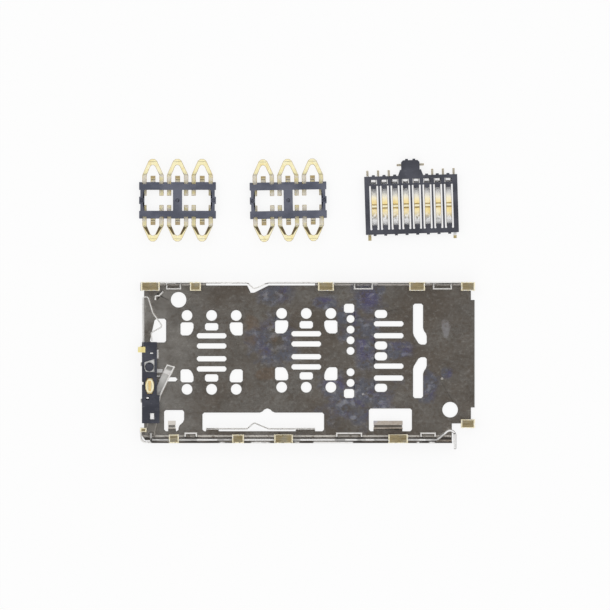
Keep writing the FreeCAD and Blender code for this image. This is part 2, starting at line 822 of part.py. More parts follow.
def shell_guides(shell):
    """Lanced guides for the rod, stops beside the upper wall and the bent tongue at the corner."""
    guides = sketch_on(shell, "guides", "XY_Plane")
    back = wall_low + S.guide_back
    front = wall_low + S.guide_front
    lower = ((left_end + S.guide_left_x, S.guide_left_length), (S.guide_middle_x, S.guide_middle_length),
             (right_end - S.guide_right_x, S.guide_right_length))
    for x, length in lower:
        draw_outline(guides, [
            (x, front), (x + S.shell_gauge, front), (x + S.shell_gauge, back - S.shell_gauge),
            (x + length - S.shell_gauge, back - S.shell_gauge), (x + length - S.shell_gauge, front),
            (x + length, front), (x + length, back), (x, back)])
    pad(shell, guides, S.guide_height, "rod_guides")
    stops = sketch_on(shell, "stops", "XY_Plane")
    face = wall_top - S.stop_reach
    seat = wall_top - S.shell_gauge
    upper = ((left_end + S.stop_left_x, S.stop_left_length), (S.stop_middle_x, S.stop_middle_length),
             (right_end - S.stop_right_x, S.stop_right_length))
    for x, length in upper:
        draw_outline(stops, [
            (x, seat), (x, face), (x + length, face), (x + length, seat),
            (x + length - S.shell_gauge, seat), (x + length - S.shell_gauge, face + S.shell_gauge),
            (x + S.shell_gauge, face + S.shell_gauge), (x + S.shell_gauge, seat)])
    pad(shell, stops, S.stop_height, "tray_stops")
    tongue_x = left_end + S.tongue_x
    tongue_y = wall_top - S.tongue_y
    ribbon(shell, "corner_tongue", [
        (tongue_x, tongue_y - S.tongue_drop), (tongue_x, tongue_y),
        (tongue_x + S.tongue_run / 2, tongue_y),
        (tongue_x + S.tongue_run, tongue_y + S.tongue_drop)],
        S.shell_gauge, Size.of(0), S.tongue_height, S.shell_gauge)


def shell_side(shell):
    """Lugs and the clip that hold the switch housing, the wall round the lower left corner and its foot."""
    floor = sketch_on(shell, "lug_floor", "XY_Plane")
    uprights = sketch_on(shell, "lug_uprights", "XY_Plane")
    for lug_y in (S.lug_top_y, S.lug_middle_y, S.lug_low_y):
        low = pivot_y + lug_y - S.lug_width / 2
        draw_box(floor, left_end, low, S.left_inset, S.lug_width)
        draw_box(uprights, left_end, low, S.shell_gauge, S.lug_width)
    draw_box(uprights, left_end + S.housing_left + S.housing_width, pivot_y + S.clip_y,
             S.shell_gauge, S.clip_length)
    pad(shell, floor, S.shell_gauge, "lug_floors")
    pad(shell, uprights, S.lug_height, "lugs")
    wall_middle = wall_low + S.shell_gauge / 2
    side_middle = left_end + S.shell_gauge / 2
    foot_low = wall_low + S.corner_foot_low
    ribbon(shell, "corner_wall", [
        (left_end + S.corner_radius * 2, wall_middle), (side_middle, wall_middle),
        (side_middle, foot_low + S.corner_foot_width)],
        S.shell_gauge, Size.of(0), S.shell_height - S.shell_gauge, S.corner_radius)
    foot = sketch_on(shell, "corner_foot_outline", "XY_Plane", S.shell_height - S.shell_gauge)
    draw_box(foot, left_end, foot_low, S.corner_foot_reach, S.corner_foot_width)
    pad(shell, foot, S.shell_gauge, "corner_foot")


def detent_route(along, out, side):
    """Corners of a detent spring that bends inwards in a V, from its left end to its right end."""
    crest = along + S.detent_rise * side
    return [(detent_left - out, along), (S.detent_x - S.detent_front, along), (S.detent_x, crest),
            (S.detent_x + S.detent_back, along), (detent_right + out, along)]


def shell_detents(shell):
    """Detent springs: one left standing in the upper wall, one on legs beside the lower cut-out."""
    ribbon(shell, "upper_detent", detent_route(wall_top - S.shell_gauge / 2, S.shell_gauge, -1),
           S.shell_gauge, S.detent_low, S.detent_high, S.detent_bend)
    strip_y = channel + S.detent_set_in
    ribbon(shell, "lower_detent", detent_route(strip_y, Size.of(0), 1),
           S.shell_gauge, S.detent_low, S.detent_high, S.detent_bend)
    legs = ((detent_left, S.detent_leg_left), (detent_right - S.detent_leg_right, S.detent_leg_right))
    tabs = sketch_on(shell, "detent_tabs", "XY_Plane")
    posts = sketch_on(shell, "detent_posts", "XY_Plane")
    for x, length in legs:
        draw_box(tabs, x, channel, length, S.detent_set_in + S.shell_gauge / 2)
        draw_box(posts, x, strip_y - S.shell_gauge / 2, length, S.shell_gauge)
    pad(shell, tabs, S.shell_gauge, "detent_leg_tabs")
    pad(shell, posts, S.detent_high, "detent_legs")


def make_shell():
    """The stamped shell: a channel with bent edges, punched, trimmed and lanced."""
    shell = new_body("shell")
    section = sketch_on(shell, "channel_section", "YZ_Plane", left_end)
    wall_height = S.shell_height - S.shell_gauge
    inner = wall_top - S.shell_gauge
    draw_outline(section, [
        (wall_low, Size.of(0)), (wall_top, Size.of(0)), (wall_top, wall_height), (inner, wall_height),
        (inner, S.shell_gauge), (-inner, S.shell_gauge), (-inner, wall_height), (wall_low, wall_height)])
    pad(shell, section, S.shell_length, "channel")

    def bend_edge(depth, height):
        return lambda edge: (runs_along(edge, X_AXIS) and abs(edge.CenterOfMass.z - height) < 1e-6
                             and abs(abs(edge.CenterOfMass.y) - depth) < 1e-6)
    round_edges(shell, "bends_outside", S.shell_bend + S.shell_gauge, bend_edge(wall_top.value, 0))
    round_edges(shell, "bends_inside", S.shell_bend, bend_edge(inner.value, S.shell_gauge.value))
    shell_edges(shell)
    punch_channel(shell)
    shell_feet(shell)
    shell_rails(shell)
    shell_guides(shell)
    shell_side(shell)
    shell_detents(shell)
    holes = sim_group_holes(shell, "group_a", left_end + S.group_a_x, S.group_a_y)
    holes += sim_group_holes(shell, "group_b", S.group_b_x, S.group_b_y)
    holes += card_group_holes(shell)
    holes += end_holes(shell)
    cut(shell, gather(shell, holes, "roof_holes"), "punch_roof")


def make_rod():
    """The push rod: a strip on edge, bent in at the lever and hooked out at the mouth."""
    rod = new_body("push_rod")
    tail_x = left_end + S.rod_tail_x
    leg_x = right_end - S.hook_leg_x
    ribbon(rod, "strip", [
        (tail_x, rod_y + S.rod_gauge / 2 + S.rod_tail_reach), (tail_x, rod_y),
        (right_end - S.hook_start_x, rod_y),
        (right_end - S.hook_crest_x, rod_y + S.hook_crest_rise),
        (leg_x, rod_y + S.hook_crest_rise),
        (leg_x, wall_low - S.hook_reach)],
        S.rod_gauge, S.rod_low, S.rod_high,
        S.rod_bend, S.hook_start_bend, S.hook_crest_bend, S.hook_bend)


def make_lever():
    """The eject lever: a flat arm with an upstanding flange, a rim round its tip and a fork for the rod."""
    lever = new_body("eject_lever", pivot_x, pivot_y)
    plate = sketch_on(lever, "plate_outline", "XY_Plane", S.lever_low)
    fork_left = S.fork_x - S.fork_gap / 2
    fork_right = S.fork_x + S.fork_gap / 2
    fork_root = -(S.fork_end - S.fork_depth)
    draw_outline(plate, [
        (S.lever_boss, -S.lever_boss), (S.lever_boss, S.lever_boss),
        (S.lever_knee_x, S.lever_knee_y), (S.lever_elbow_x, S.lever_elbow_y),
        (S.lever_tip_x, S.lever_tip_y), (S.lever_tip_x - S.lever_width, S.lever_tip_y + S.lever_boss / 2),
        (S.lever_elbow_x - S.lever_width, S.lever_elbow_y + S.lever_boss / 2),
        (-S.lever_boss, S.lever_boss), (-S.lever_boss, -S.lever_boss),
        (fork_left - S.fork_prong, fork_root), (fork_left - S.fork_prong, -S.fork_end),
        (fork_left, -S.fork_end), (fork_left, fork_root), (fork_right, fork_root),
        (fork_right, -S.fork_end), (fork_right + S.fork_prong, -S.fork_end),
        (fork_right + S.fork_prong, fork_root)])
    draw_circle(plate, 0, 0, S.lever_bore)
    pad(lever, plate, S.lever_gauge, "plate")
    flange = sketch_on(lever, "flange_outline", "XY_Plane", S.lever_low)
    draw_outline(flange, [
        (S.lever_knee_x, S.lever_knee_y), (S.lever_elbow_x, S.lever_elbow_y), (S.lever_tip_x, S.lever_tip_y),
        (S.lever_tip_x - S.lever_flange, S.lever_tip_y + S.lever_flange / 2),
        (S.lever_elbow_x - S.lever_flange, S.lever_elbow_y + S.lever_flange / 2),
        (S.lever_knee_x - S.lever_flange, S.lever_knee_y + S.lever_flange / 2)])
    pad(lever, flange, S.lever_flange_top - S.lever_low, "flange")
    rim = sketch_on(lever, "tip_rim_outline", "XY_Plane", S.lever_low)
    tip_left = S.lever_tip_x - S.lever_width
    tip_top = S.lever_tip_y + S.lever_boss / 2
    arm_slope = (S.lever_tip_x - S.lever_elbow_x) / (S.lever_tip_y - S.lever_elbow_y)
    lean = S.lever_tip_length * arm_slope
    draw_outline(rim, [
        (S.lever_tip_x, S.lever_tip_y), (tip_left, tip_top), (tip_left - lean, tip_top - S.lever_tip_length),
        (tip_left - lean + S.lever_rim, tip_top - S.lever_tip_length),
        (tip_left + S.lever_rim / 2, tip_top - S.lever_rim * 3 / 2),
        (S.lever_tip_x - S.lever_rim / 2, S.lever_tip_y - S.lever_rim)])
    pad(lever, rim, S.lever_gauge + S.lever_tip_rise, "tip_rim")

    rivet = new_body("lever_rivet", pivot_x, pivot_y)
    shank = sketch_on(rivet, "shank_outline", "XY_Plane", S.shell_gauge)
    draw_circle(shank, 0, 0, S.rivet_shank)
    head_low = S.lever_low + S.lever_gauge + S.rivet_play
    pad(rivet, shank, head_low - S.shell_gauge, "shank")
    head = sketch_on(rivet, "head_outline", "XY_Plane", head_low)
    draw_circle(head, 0, 0, S.rivet_head)
    pad(rivet, head, S.rivet_head_height, "head")


def recess_outline(play):
    """Corners of the recess round the housing's peg, drawn in all round by the play."""
    left = left_end + S.recess_left
    low = pivot_y + S.recess_low
    top = low + S.recess_height
    right = left + S.recess_width
    return [(left + S.recess_slant / 2 + play, low + play), (right - play, low + play),
            (right - play, top + S.recess_slant - play), (left + play, top - play),
            (left + play, low + S.recess_slant + play)]


def recess_peg():
    """Middle of the housing's peg."""
    return (left_end + S.recess_left + S.recess_width / 2,
            pivot_y + S.recess_low + S.recess_height / 2 + S.plate_play)


def draw_oval_window(sketch, play):
    """Six-sided window over the fixed detect contact, drawn in all round by the play."""
    x = left_end + S.oval_window_x
    y = pivot_y + S.oval_window_y
    half = S.oval_window_width / 2 - play
    reach = S.oval_window_length / 2 - play
    draw_outline(sketch, [
        (x - half / 2, y - reach), (x + half / 2, y - reach), (x + half, y - reach + half),
        (x + half, y + reach - half), (x + half / 2, y + reach), (x - half / 2, y + reach),
        (x - half, y + reach - half), (x - half, y - reach + half)])


def make_switch():
    """The card switch: housing, detect spring, fixed contact, retainer plate and solder tail."""
    housing = new_body("switch_housing")
    left = left_end + S.housing_left
    top = pivot_y + S.housing_top_y
    step = pivot_y + S.housing_step_y
    low = pivot_y - S.housing_low_y
    plan = sketch_on(housing, "plan", "XY_Plane", S.shell_gauge)
    draw_outline(plan, [
        (left, low), (left + S.housing_foot_width, low), (left + S.housing_foot_width, step),
        (left + S.housing_width, step), (left + S.housing_width, top), (left, top)])
    pad(housing, plan, S.housing_top - S.shell_gauge, "block")
    relief = sketch_on(housing, "lever_room", "XY_Plane", S.relief_top)
    draw_box(relief, left_end + S.relief_x, low - S.cut_margin,
             S.housing_foot_width + S.cut_margin, S.relief_y + S.housing_low_y + S.cut_margin)
    cut(housing, relief, "relieve_lever")
    windows = sketch_on(housing, "windows", "XY_Plane", S.housing_top)
    draw_outline(windows, recess_outline(Size.of(0)))
    draw_circle(windows, *recess_peg(), S.peg_bore)
    draw_oval_window(windows, Size.of(0))
    draw_centred_box(windows, left_end + S.slit_x, pivot_y + S.slit_y, S.slit_length, S.slit_width)
    cut(housing, windows, "sink_windows", S.recess_depth)
    pockets = sketch_on(housing, "pin_pockets", "XY_Plane", S.housing_top)
    draw_box(pockets, left, pivot_y + S.side_pocket_y - S.side_pocket_length / 2,
             S.side_pocket_width, S.side_pocket_length)
    draw_centred_box(pockets, left_end + S.end_pocket_x, pivot_y + S.end_pocket_y, S.end_pocket, S.end_pocket)
    cut(housing, pockets, "sink_pockets", S.recess_depth)
    rivet_window = sketch_on(housing, "rivet_window", "XY_Plane", S.housing_top)
    draw_centred_box(rivet_window, pivot_x, pivot_y, S.rivet_window_width, S.rivet_window_length)
    cut(housing, rivet_window, "open_rivet_window")
    leg_x = left_end + S.spring_leg_x
    slots = sketch_on(housing, "spring_slot", "XY_Plane", S.housing_top)
    draw_box(slots, leg_x - S.spring_gauge / 2, top - S.spring_root, S.spring_gauge,
             S.spring_root + S.cut_margin)
    cut(housing, slots, "slot_for_spring", S.housing_top - S.spring_low)
    tail_low = pivot_y + S.tail_y - S.tail_width / 2
    tail_slot = sketch_on(housing, "tail_slot", "XY_Plane", S.housing_top)
    draw_box(tail_slot, left - S.cut_margin, tail_low, S.tail_root + S.cut_margin, S.tail_width)
    cut(housing, tail_slot, "slot_for_tail", S.tail_gauge)

    spring = new_body("detect_spring")
    ribbon(spring, "strip", [
        (leg_x, top - S.spring_root), (leg_x, top + S.spring_rise),
        (leg_x + S.spring_top, top + S.spring_rise),
        (left_end + S.spring_knee_x, top + S.spring_knee_y),
        (left_end + S.spring_nose_x, top + S.spring_nose_y),
        (left_end + S.spring_back_x, top + S.spring_back_y),
        (left_end + S.spring_tip_x, top + S.spring_tip_y)],
        S.spring_gauge, S.spring_low, S.spring_high, S.spring_bend)

    contact = new_body("detect_contact")
    floor = S.housing_top - S.recess_depth
    plate = sketch_on(contact, "plate_outline", "XY_Plane", floor)
    draw_oval_window(plate, S.plate_play)
    pad(contact, plate, S.plate_gauge, "plate")
    bar = sketch_on(contact, "bar_outline", "XY_Plane", floor + S.plate_gauge)
    draw_centred_box(bar, left_end + S.oval_window_x, pivot_y + S.oval_window_y,
                     S.contact_bar_width, S.contact_bar_length)
    pad(contact, bar, S.contact_bar_height, "bar")

    retainer = new_body("retainer_plate")
    ring = sketch_on(retainer, "plate_outline", "XY_Plane", floor)
    draw_outline(ring, recess_outline(S.plate_play))
    draw_circle(ring, *recess_peg(), S.peg_bore + S.plate_play * 2)
    pad(retainer, ring, S.plate_gauge, "plate")

    tail = new_body("switch_tail")
    strip = sketch_on(tail, "strip_outline", "XY_Plane", S.housing_top - S.tail_gauge)
    draw_box(strip, left_end - S.tail_reach, tail_low,
             S.tail_reach + S.housing_left + S.tail_root, S.tail_width)
    pad(tail, strip, S.tail_gauge, "strip")


def make_sim_contact(label, x, y, turn):
    """One SIM contact: a web under the frame's bar, a solder tail and two legs that meet in a raised nose."""
    contact = new_body(label, x, y, turn)
    inner = -(S.frame_side_bar + S.contact_tip)
    crest = S.contact_reach - S.contact_nose_run
    slope = S.contact_rise / (crest - S.contact_flat)
    steep_gauge = S.contact_gauge * (slope * slope + 1).root()
    half = S.contact_width / 2
    side = sketch_on(contact, "side", "YZ_Plane", -half)
    nose_low = S.contact_rise - S.contact_nose_drop
    draw_outline(side, [
        (inner, Size.of(0)), (S.contact_flat, Size.of(0)), (crest, S.contact_rise),
        (S.contact_reach, nose_low), (S.contact_reach, nose_low + steep_gauge),
        (crest, S.contact_rise + steep_gauge),
        (S.contact_flat - S.contact_gauge * slope / 2, S.contact_gauge),
        (inner, S.contact_gauge)])
    pad(contact, side, S.contact_width, "bent_strip")
    round_edges(contact, "bends", S.contact_bend,
                lambda edge: runs_along(edge, X_AXIS) and contact_bend_at(edge, crest))
    plan = sketch_on(contact, "plan", "XY_Plane", S.contact_rise + S.contact_gauge * 2)
    margin = S.cut_margin
    nose = S.contact_nose_width / 2
    nose_flat = S.contact_nose_flat / 2
    leg = half - S.contact_leg
    tail = S.contact_tail_width / 2
    throat = S.contact_throat / 2
    throat_flat = S.contact_throat_flat / 2
    throat_end = S.contact_reach - S.contact_nose_depth
    for hand in (-1, 1):
        draw_outline(plan, [
            (half * hand, S.contact_flat), (nose * hand, S.contact_reach - S.contact_nose_corner),
            (nose_flat * hand, S.contact_reach), (nose_flat * hand, S.contact_reach + margin),
            ((half + margin) * hand, S.contact_reach + margin),
            ((half + margin) * hand, S.contact_flat)])
    draw_outline(plan, [
        (-leg, Size.of(0)), (-tail, Size.of(0)), (-tail, S.contact_tail),
        (tail, S.contact_tail), (tail, Size.of(0)),
        (leg, Size.of(0)), (leg, S.contact_flat), (throat, throat_end - S.contact_throat_corner),
        (throat_flat, throat_end), (-throat_flat, throat_end),
        (-throat, throat_end - S.contact_throat_corner), (-leg, S.contact_flat)])
    draw_box(plan, -leg, inner - margin, leg * 2, S.contact_tip + margin)
    cut(contact, plan, "stamp_plan")


def contact_bend_at(edge, crest):
    """Whether an edge is a bend line of a SIM contact: at the flat's end or at the crest."""
    y = edge.CenterOfMass.y
    flat_end = S.contact_flat.value
    return abs(y - crest.value) < 1e-6 or flat_end - S.contact_gauge.value < y < flat_end + 1e-6


def make_sim_block(name, x, y, tilt):
    """A SIM contact block: a frame with two windows and three contacts on each long side."""
    frame = new_body(f"{name}_frame", x, y, tilt)
    plan = sketch_on(frame, "plan", "XY_Plane")
    draw_centred_box(plan, Size.of(0), Size.of(0), S.frame_length, S.frame_width)
    pad(frame, plan, S.frame_height, "block")
    cuts = sketch_on(frame, "openings", "XY_Plane", S.frame_height)
    window_width = S.frame_width - S.frame_side_bar * 2
    window_length = S.frame_length / 2 - S.frame_end_bar - S.frame_middle_bar / 2
    for hand in (-1, 1):
        draw_centred_box(cuts, (S.frame_middle_bar / 2 + window_length / 2) * hand, Size.of(0),
                         window_length, window_width)
        for side in (-1, 1):
            tooth = S.frame_end_tooth / 2 * side
            shoulder = window_width / 2 * side
            edge = S.frame_length / 2 * hand
            draw_outline(cuts, [
                (edge - S.frame_end_notch * hand, tooth), (edge + S.cut_margin * hand, tooth),
                (edge + S.cut_margin * hand, shoulder), (edge - S.frame_end_notch * hand, shoulder)])
    cut(frame, cuts, "mould_openings")
    for side, name_of_side in ((1, "upper"), (-1, "lower")):
        notches = sketch_on(frame, f"{name_of_side}_notches", "XY_Plane", S.frame_height)
        edge = S.frame_width / 2 * side
        for column in (-1, 0, 1):
            for leg in (-1, 1):
                middle = S.sim_pitch * column + (S.contact_width - S.contact_leg) / 2 * leg
                draw_outline(notches, [
                    (middle - S.contact_leg / 2, edge - S.frame_leg_notch * side),
                    (middle + S.contact_leg / 2, edge - S.frame_leg_notch * side),
                    (middle + S.contact_leg / 2, edge + S.cut_margin * side),
                    (middle - S.contact_leg / 2, edge + S.cut_margin * side)])
        cut(frame, notches, f"mould_{name_of_side}_notches")
    webs = sketch_on(frame, "web_seats", "XY_Plane", S.contact_gauge)
    for column in (-1, 0, 1):
        for side in (-1, 1):
            seat = S.frame_side_bar + S.contact_tip
            draw_centred_box(webs, S.sim_pitch * column, (S.frame_width - seat) / 2 * side,
                             S.contact_width, seat)
    cut(frame, webs, "seat_webs")
    dimples = sketch_on(frame, "dimples", "XY_Plane", S.frame_height)
    for hand in (-1, 0, 1):
        draw_circle(dimples, (S.frame_length - S.frame_end_bar) / 2 * hand, 0, S.frame_dimple)
    cut(frame, dimples, "gate_dimples", S.frame_dimple_depth)
    spin = Rotation(Vector(0, 0, 1), tilt)
    for row, side in enumerate((1, -1)):
        for column in (-1, 0, 1):
            seat = spin.multVec(Vector(S.sim_pitch.value * column, S.frame_width.value / 2 * side, 0))
            make_sim_contact(f"{name}_contact_{row * 3 + column + 2}", x.value + seat.x, y.value + seat.y,
                             tilt + (0 if side > 0 else 180))


def sd_contact_x(number):
    """Place of a microSD contact along its frame, counted from the left."""
    return S.sd_pitch * (number - 4.5)


def sd_tail_outline(number):
    """Solder tail of a microSD contact about the contact's own middle line."""
    hand = -1 if number <= 4 else 1
    edge = S.sd_frame_width / 2
    if number in (4, 5):
        inner = S.sd_strip_width / 2 - S.sd_tail_width
        side_y = edge + S.sd_side_tail_y
        end = (S.sd_side_tail_end - S.sd_pitch / 2) * hand
        return [((inner + S.sd_tail_width) * hand, edge), ((inner + S.sd_tail_width) * hand, side_y),
                (end, side_y), (end, side_y + S.sd_tail_width), (inner * hand, side_y + S.sd_tail_width),
                (inner * hand, edge)]
    outer = (S.sd_tail_shift + S.sd_tail_width / 2) * hand
    inner = (S.sd_tail_shift - S.sd_tail_width / 2) * hand
    return [(inner, edge), (outer, edge), (outer, edge + S.sd_tail_reach), (inner, edge + S.sd_tail_reach)]


def sd_base_span(number):
    """Left end and length of a microSD contact's base plate about the contact's middle line."""
    near = S.sd_strip_width / 2
    far = near if number in (4, 5) else S.sd_tail_shift + S.sd_tail_width / 2
    return (-far if number <= 4 else -near), near + far


def make_sd_contact(number, x, y, tilt):
    """One microSD contact: a base plate under the bar, a solder tail and a sprung strip with a crest."""
    contact = new_body(f"sd_contact_{number}", x, y, tilt)
    base_left, base_length = sd_base_span(number)
    edge = S.sd_frame_width / 2
    gauge = S.contact_gauge
    flat_end = S.sd_slot_top - S.sd_strip_flat
    crest_front = S.sd_crest_y + S.sd_crest_run / 2
    crest_back = S.sd_crest_y - S.sd_crest_run / 2
    tip = -S.sd_end_y
    under = [(edge, Size.of(0)), (flat_end, Size.of(0)),
             (crest_front + S.sd_crest_slope, S.sd_shoulder_height),
             (crest_front, S.sd_crest_height), (crest_back, S.sd_crest_height),
             (crest_back - S.sd_crest_slope, S.sd_shoulder_height),
             (tip + S.sd_end_run, S.sd_end_height), (tip, S.sd_end_height)]
    side = sketch_on(contact, "side", "YZ_Plane", base_left)
    draw_outline(side, under + [(along, height + gauge) for along, height in reversed(under)])
    pad(contact, side, base_length, "bent_strip")
    half = S.sd_strip_width / 2
    if base_length.value > S.sd_strip_width.value:
        plan = sketch_on(contact, "plan", "XY_Plane", S.sd_crest_height + gauge)
        right_room = base_left + base_length - half + S.cut_margin
        left_room = -half - base_left + S.cut_margin
        long = S.sd_slot_top + S.sd_end_y + S.cut_margin
        draw_box(plan, half, tip - S.cut_margin, right_room, long)
        draw_box(plan, base_left - S.cut_margin, tip - S.cut_margin, left_room, long)
        cut(contact, plan, "stamp_plan")
    tail = sketch_on(contact, "tail_outline", "XY_Plane")
    draw_outline(tail, sd_tail_outline(number))
    pad(contact, tail, gauge, "solder_tail")


def make_sd_block(x, y, tilt):
    """The microSD contact block: a slotted frame with a head, eight contacts and two solder pins."""
    frame = new_body("sd_frame", x, y, tilt)
    edge = S.sd_frame_width / 2
    plan = sketch_on(frame, "plan", "XY_Plane")
    draw_centred_box(plan, Size.of(0), Size.of(0), S.sd_frame_length, S.sd_frame_width)
    pad(frame, plan, S.sd_frame_height, "block")
    head = sketch_on(frame, "head_outline", "XY_Plane")
    neck_y = edge + S.sd_head_neck_y
    top = edge + S.sd_head_reach
    half = S.sd_head_width / 2
    draw_outline(head, [
        (S.sd_head_base / 2, edge), (S.sd_head_neck / 2, neck_y), (half, neck_y),
        (half, top - S.sd_head_corner), (half - S.sd_head_corner, top), (-half + S.sd_head_corner, top),
        (-half, top - S.sd_head_corner), (-half, neck_y),
        (-S.sd_head_neck / 2, neck_y), (-S.sd_head_base / 2, edge)])
    pad(frame, head, S.sd_frame_height, "head")
    upper_nibs = sketch_on(frame, "upper_nibs", "XY_Plane")
    for hand in (-1, 1):
        draw_box(upper_nibs, S.sd_nub_x * hand - S.sd_nub_width / 2, top, S.sd_nub_width, S.sd_nub_reach)
    for number in (1, 2, 3, 6, 7, 8):
        draw_box(upper_nibs, sd_contact_x(number) - S.sd_nib_width / 2, edge, S.sd_nib_width, S.sd_nib_reach)
    pad(frame, upper_nibs, S.sd_frame_height, "nibs_above")
    lower_nibs = sketch_on(frame, "lower_nibs", "XY_Plane")
    slots = sketch_on(frame, "slots", "XY_Plane", S.sd_frame_height)
    windows = sketch_on(frame, "windows", "XY_Plane", S.sd_frame_height)
    for number in range(1, 9):
        middle = sd_contact_x(number)
        draw_box(lower_nibs, middle - S.sd_nib_width / 2, -edge - S.sd_nib_reach,
                 S.sd_nib_width, S.sd_nib_reach)
        draw_box(slots, middle - S.sd_slot_open / 2, -S.sd_slot_low,
                 S.sd_slot_open, S.sd_slot_low + S.sd_slot_top)
        draw_box(windows, middle - S.sd_window_width / 2, S.sd_window_low,
                 S.sd_window_width, S.sd_window_height)
    pad(frame, lower_nibs, S.sd_frame_height, "nibs_below")
    cut(frame, slots, "mould_slots")
    cut(frame, windows, "mould_windows")
    seats = sketch_on(frame, "base_seats", "XY_Plane", S.contact_gauge)
    for number in range(1, 9):
        base_left, base_length = sd_base_span(number)
        draw_box(seats, sd_contact_x(number) + base_left, S.sd_slot_top, base_length, edge - S.sd_slot_top)
    cut(frame, seats, "seat_bases")
    tails = sketch_on(frame, "tail_seats", "XY_Plane", S.contact_gauge)
    for number in (4, 5):
        draw_outline(tails, [(sd_contact_x(number) + along, out) for along, out in sd_tail_outline(number)])
    cut(frame, tails, "seat_tails")
    pins = sketch_on(frame, "pin_seats", "XY_Plane", S.contact_gauge)
    for hand in (-1, 1):
        draw_box(pins, S.sd_pin_x * hand - S.sd_pin_width / 2, -edge, S.sd_pin_width, S.sd_pin_root)
    cut(frame, pins, "seat_pins")
    upper_tongues = sketch_on(frame, "upper_tongues", "XY_Plane", S.sd_tongue_under)
    lower_tongues = sketch_on(frame, "lower_tongues", "XY_Plane", S.sd_tongue_under)
    for number in range(1, 9):
        left = sd_contact_x(number) - S.sd_tongue_width / 2
        draw_box(upper_tongues, left, S.sd_slot_top - S.sd_tongue_top, S.sd_tongue_width, S.sd_tongue_top)
        draw_box(lower_tongues, left, -S.sd_slot_low, S.sd_tongue_width, S.sd_tongue_low)
    pad(frame, upper_tongues, S.sd_frame_height - S.sd_tongue_under, "tongues_above")
    pad(frame, lower_tongues, S.sd_frame_height - S.sd_tongue_under, "tongues_below")

    spin = Rotation(Vector(0, 0, 1), tilt)
    for number in range(1, 9):
        seat = spin.multVec(Vector(sd_contact_x(number).value, 0, 0))
        make_sd_contact(number, x.value + seat.x, y.value + seat.y, tilt)
    for name, hand in (("left", -1), ("right", 1)):
        pin = new_body(f"sd_pin_{name}", x, y, tilt)
        outline = sketch_on(pin, "outline", "XY_Plane")
        draw_box(outline, S.sd_pin_x * hand - S.sd_pin_width / 2, -edge - S.sd_pin_reach,
                 S.sd_pin_width, S.sd_pin_reach + S.sd_pin_root)
        pad(pin, outline, S.contact_gauge, "strip")


def centre_set():
    """Move the whole set so that the middle of its base stands on the origin."""
    box = FreeCAD.BoundBox()
    for body in bodies:
        box.add(body.Shape.optimalBoundingBox())
    shift = Vector(-(box.XMin + box.XMax) / 2, -(box.YMin + box.YMax) / 2, -box.ZMin)
    for body in bodies:
        body.Placement.move(shift)
    doc.recompute()


def write_parts():
    """Check every object of the document, then write one file for each sub-part."""
    for item in doc.Objects:
        if "Invalid" in item.State or "Error" in item.State:
            raise ValueError(f"{item.Label} did not recompute")
    for body in bodies:
        if body.Shape.isNull() or not body.Shape.isValid() or len(body.Shape.Solids) != 1:
            raise ValueError(f"{body.Label} is not one valid solid")
    os.makedirs("parts", exist_ok=True)
    for body in bodies:
        body.Shape.exportStep(f"parts/{body.Label}.step")


fill_sheet()
make_shell()
make_rod()
make_lever()
make_switch()
sim_y = wall_top + S.block_gap + S.contact_reach + S.frame_width / 2
make_sim_block("sim_a", S.block_a_x, sim_y, 0)
make_sim_block("sim_b", S.block_b_x, sim_y, S.block_b_tilt.value)
make_sd_block(S.sd_block_x, wall_top + S.sd_gap + S.sd_frame_width / 2, S.sd_block_tilt.value)
centre_set()
write_parts()
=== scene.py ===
"""Looks of the sim card reader set: stained steel shell with its ejector, and the gold contact blocks."""

import logging
import math
from abc import ABC, abstractmethod
from collections.abc import Callable, Mapping, Sequence
from dataclasses import dataclass, field
from enum import Enum
from functools import cached_property
from typing import Any

import bmesh
import bpy
from mathutils import Matrix, Vector


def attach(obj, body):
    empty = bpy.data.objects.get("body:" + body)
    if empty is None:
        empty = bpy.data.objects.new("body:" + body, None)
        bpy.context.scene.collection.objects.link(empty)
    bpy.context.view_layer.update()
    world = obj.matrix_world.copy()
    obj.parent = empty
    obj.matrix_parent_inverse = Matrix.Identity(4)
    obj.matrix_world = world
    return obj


MM = 0.001
NOISE_MEAN = 0.5
NOISE_SHIFT = (1.0, 0.7, 1.3)
SPECK_CORE = 0.4
SPECK_FADE = 0.02
WHITE = (1.0, 1.0, 1.0, 1.0)

log = logging.getLogger("card_reader")
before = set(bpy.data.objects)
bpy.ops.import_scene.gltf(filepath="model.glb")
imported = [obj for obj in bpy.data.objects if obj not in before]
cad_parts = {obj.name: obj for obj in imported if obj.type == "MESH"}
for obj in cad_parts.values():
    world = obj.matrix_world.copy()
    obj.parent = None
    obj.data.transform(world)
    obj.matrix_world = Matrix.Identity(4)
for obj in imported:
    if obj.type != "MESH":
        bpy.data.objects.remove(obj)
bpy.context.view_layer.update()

Triple = tuple[float, float, float]
Colour = Triple
Span = tuple[float, float]
Place = tuple[float, float, float, float]


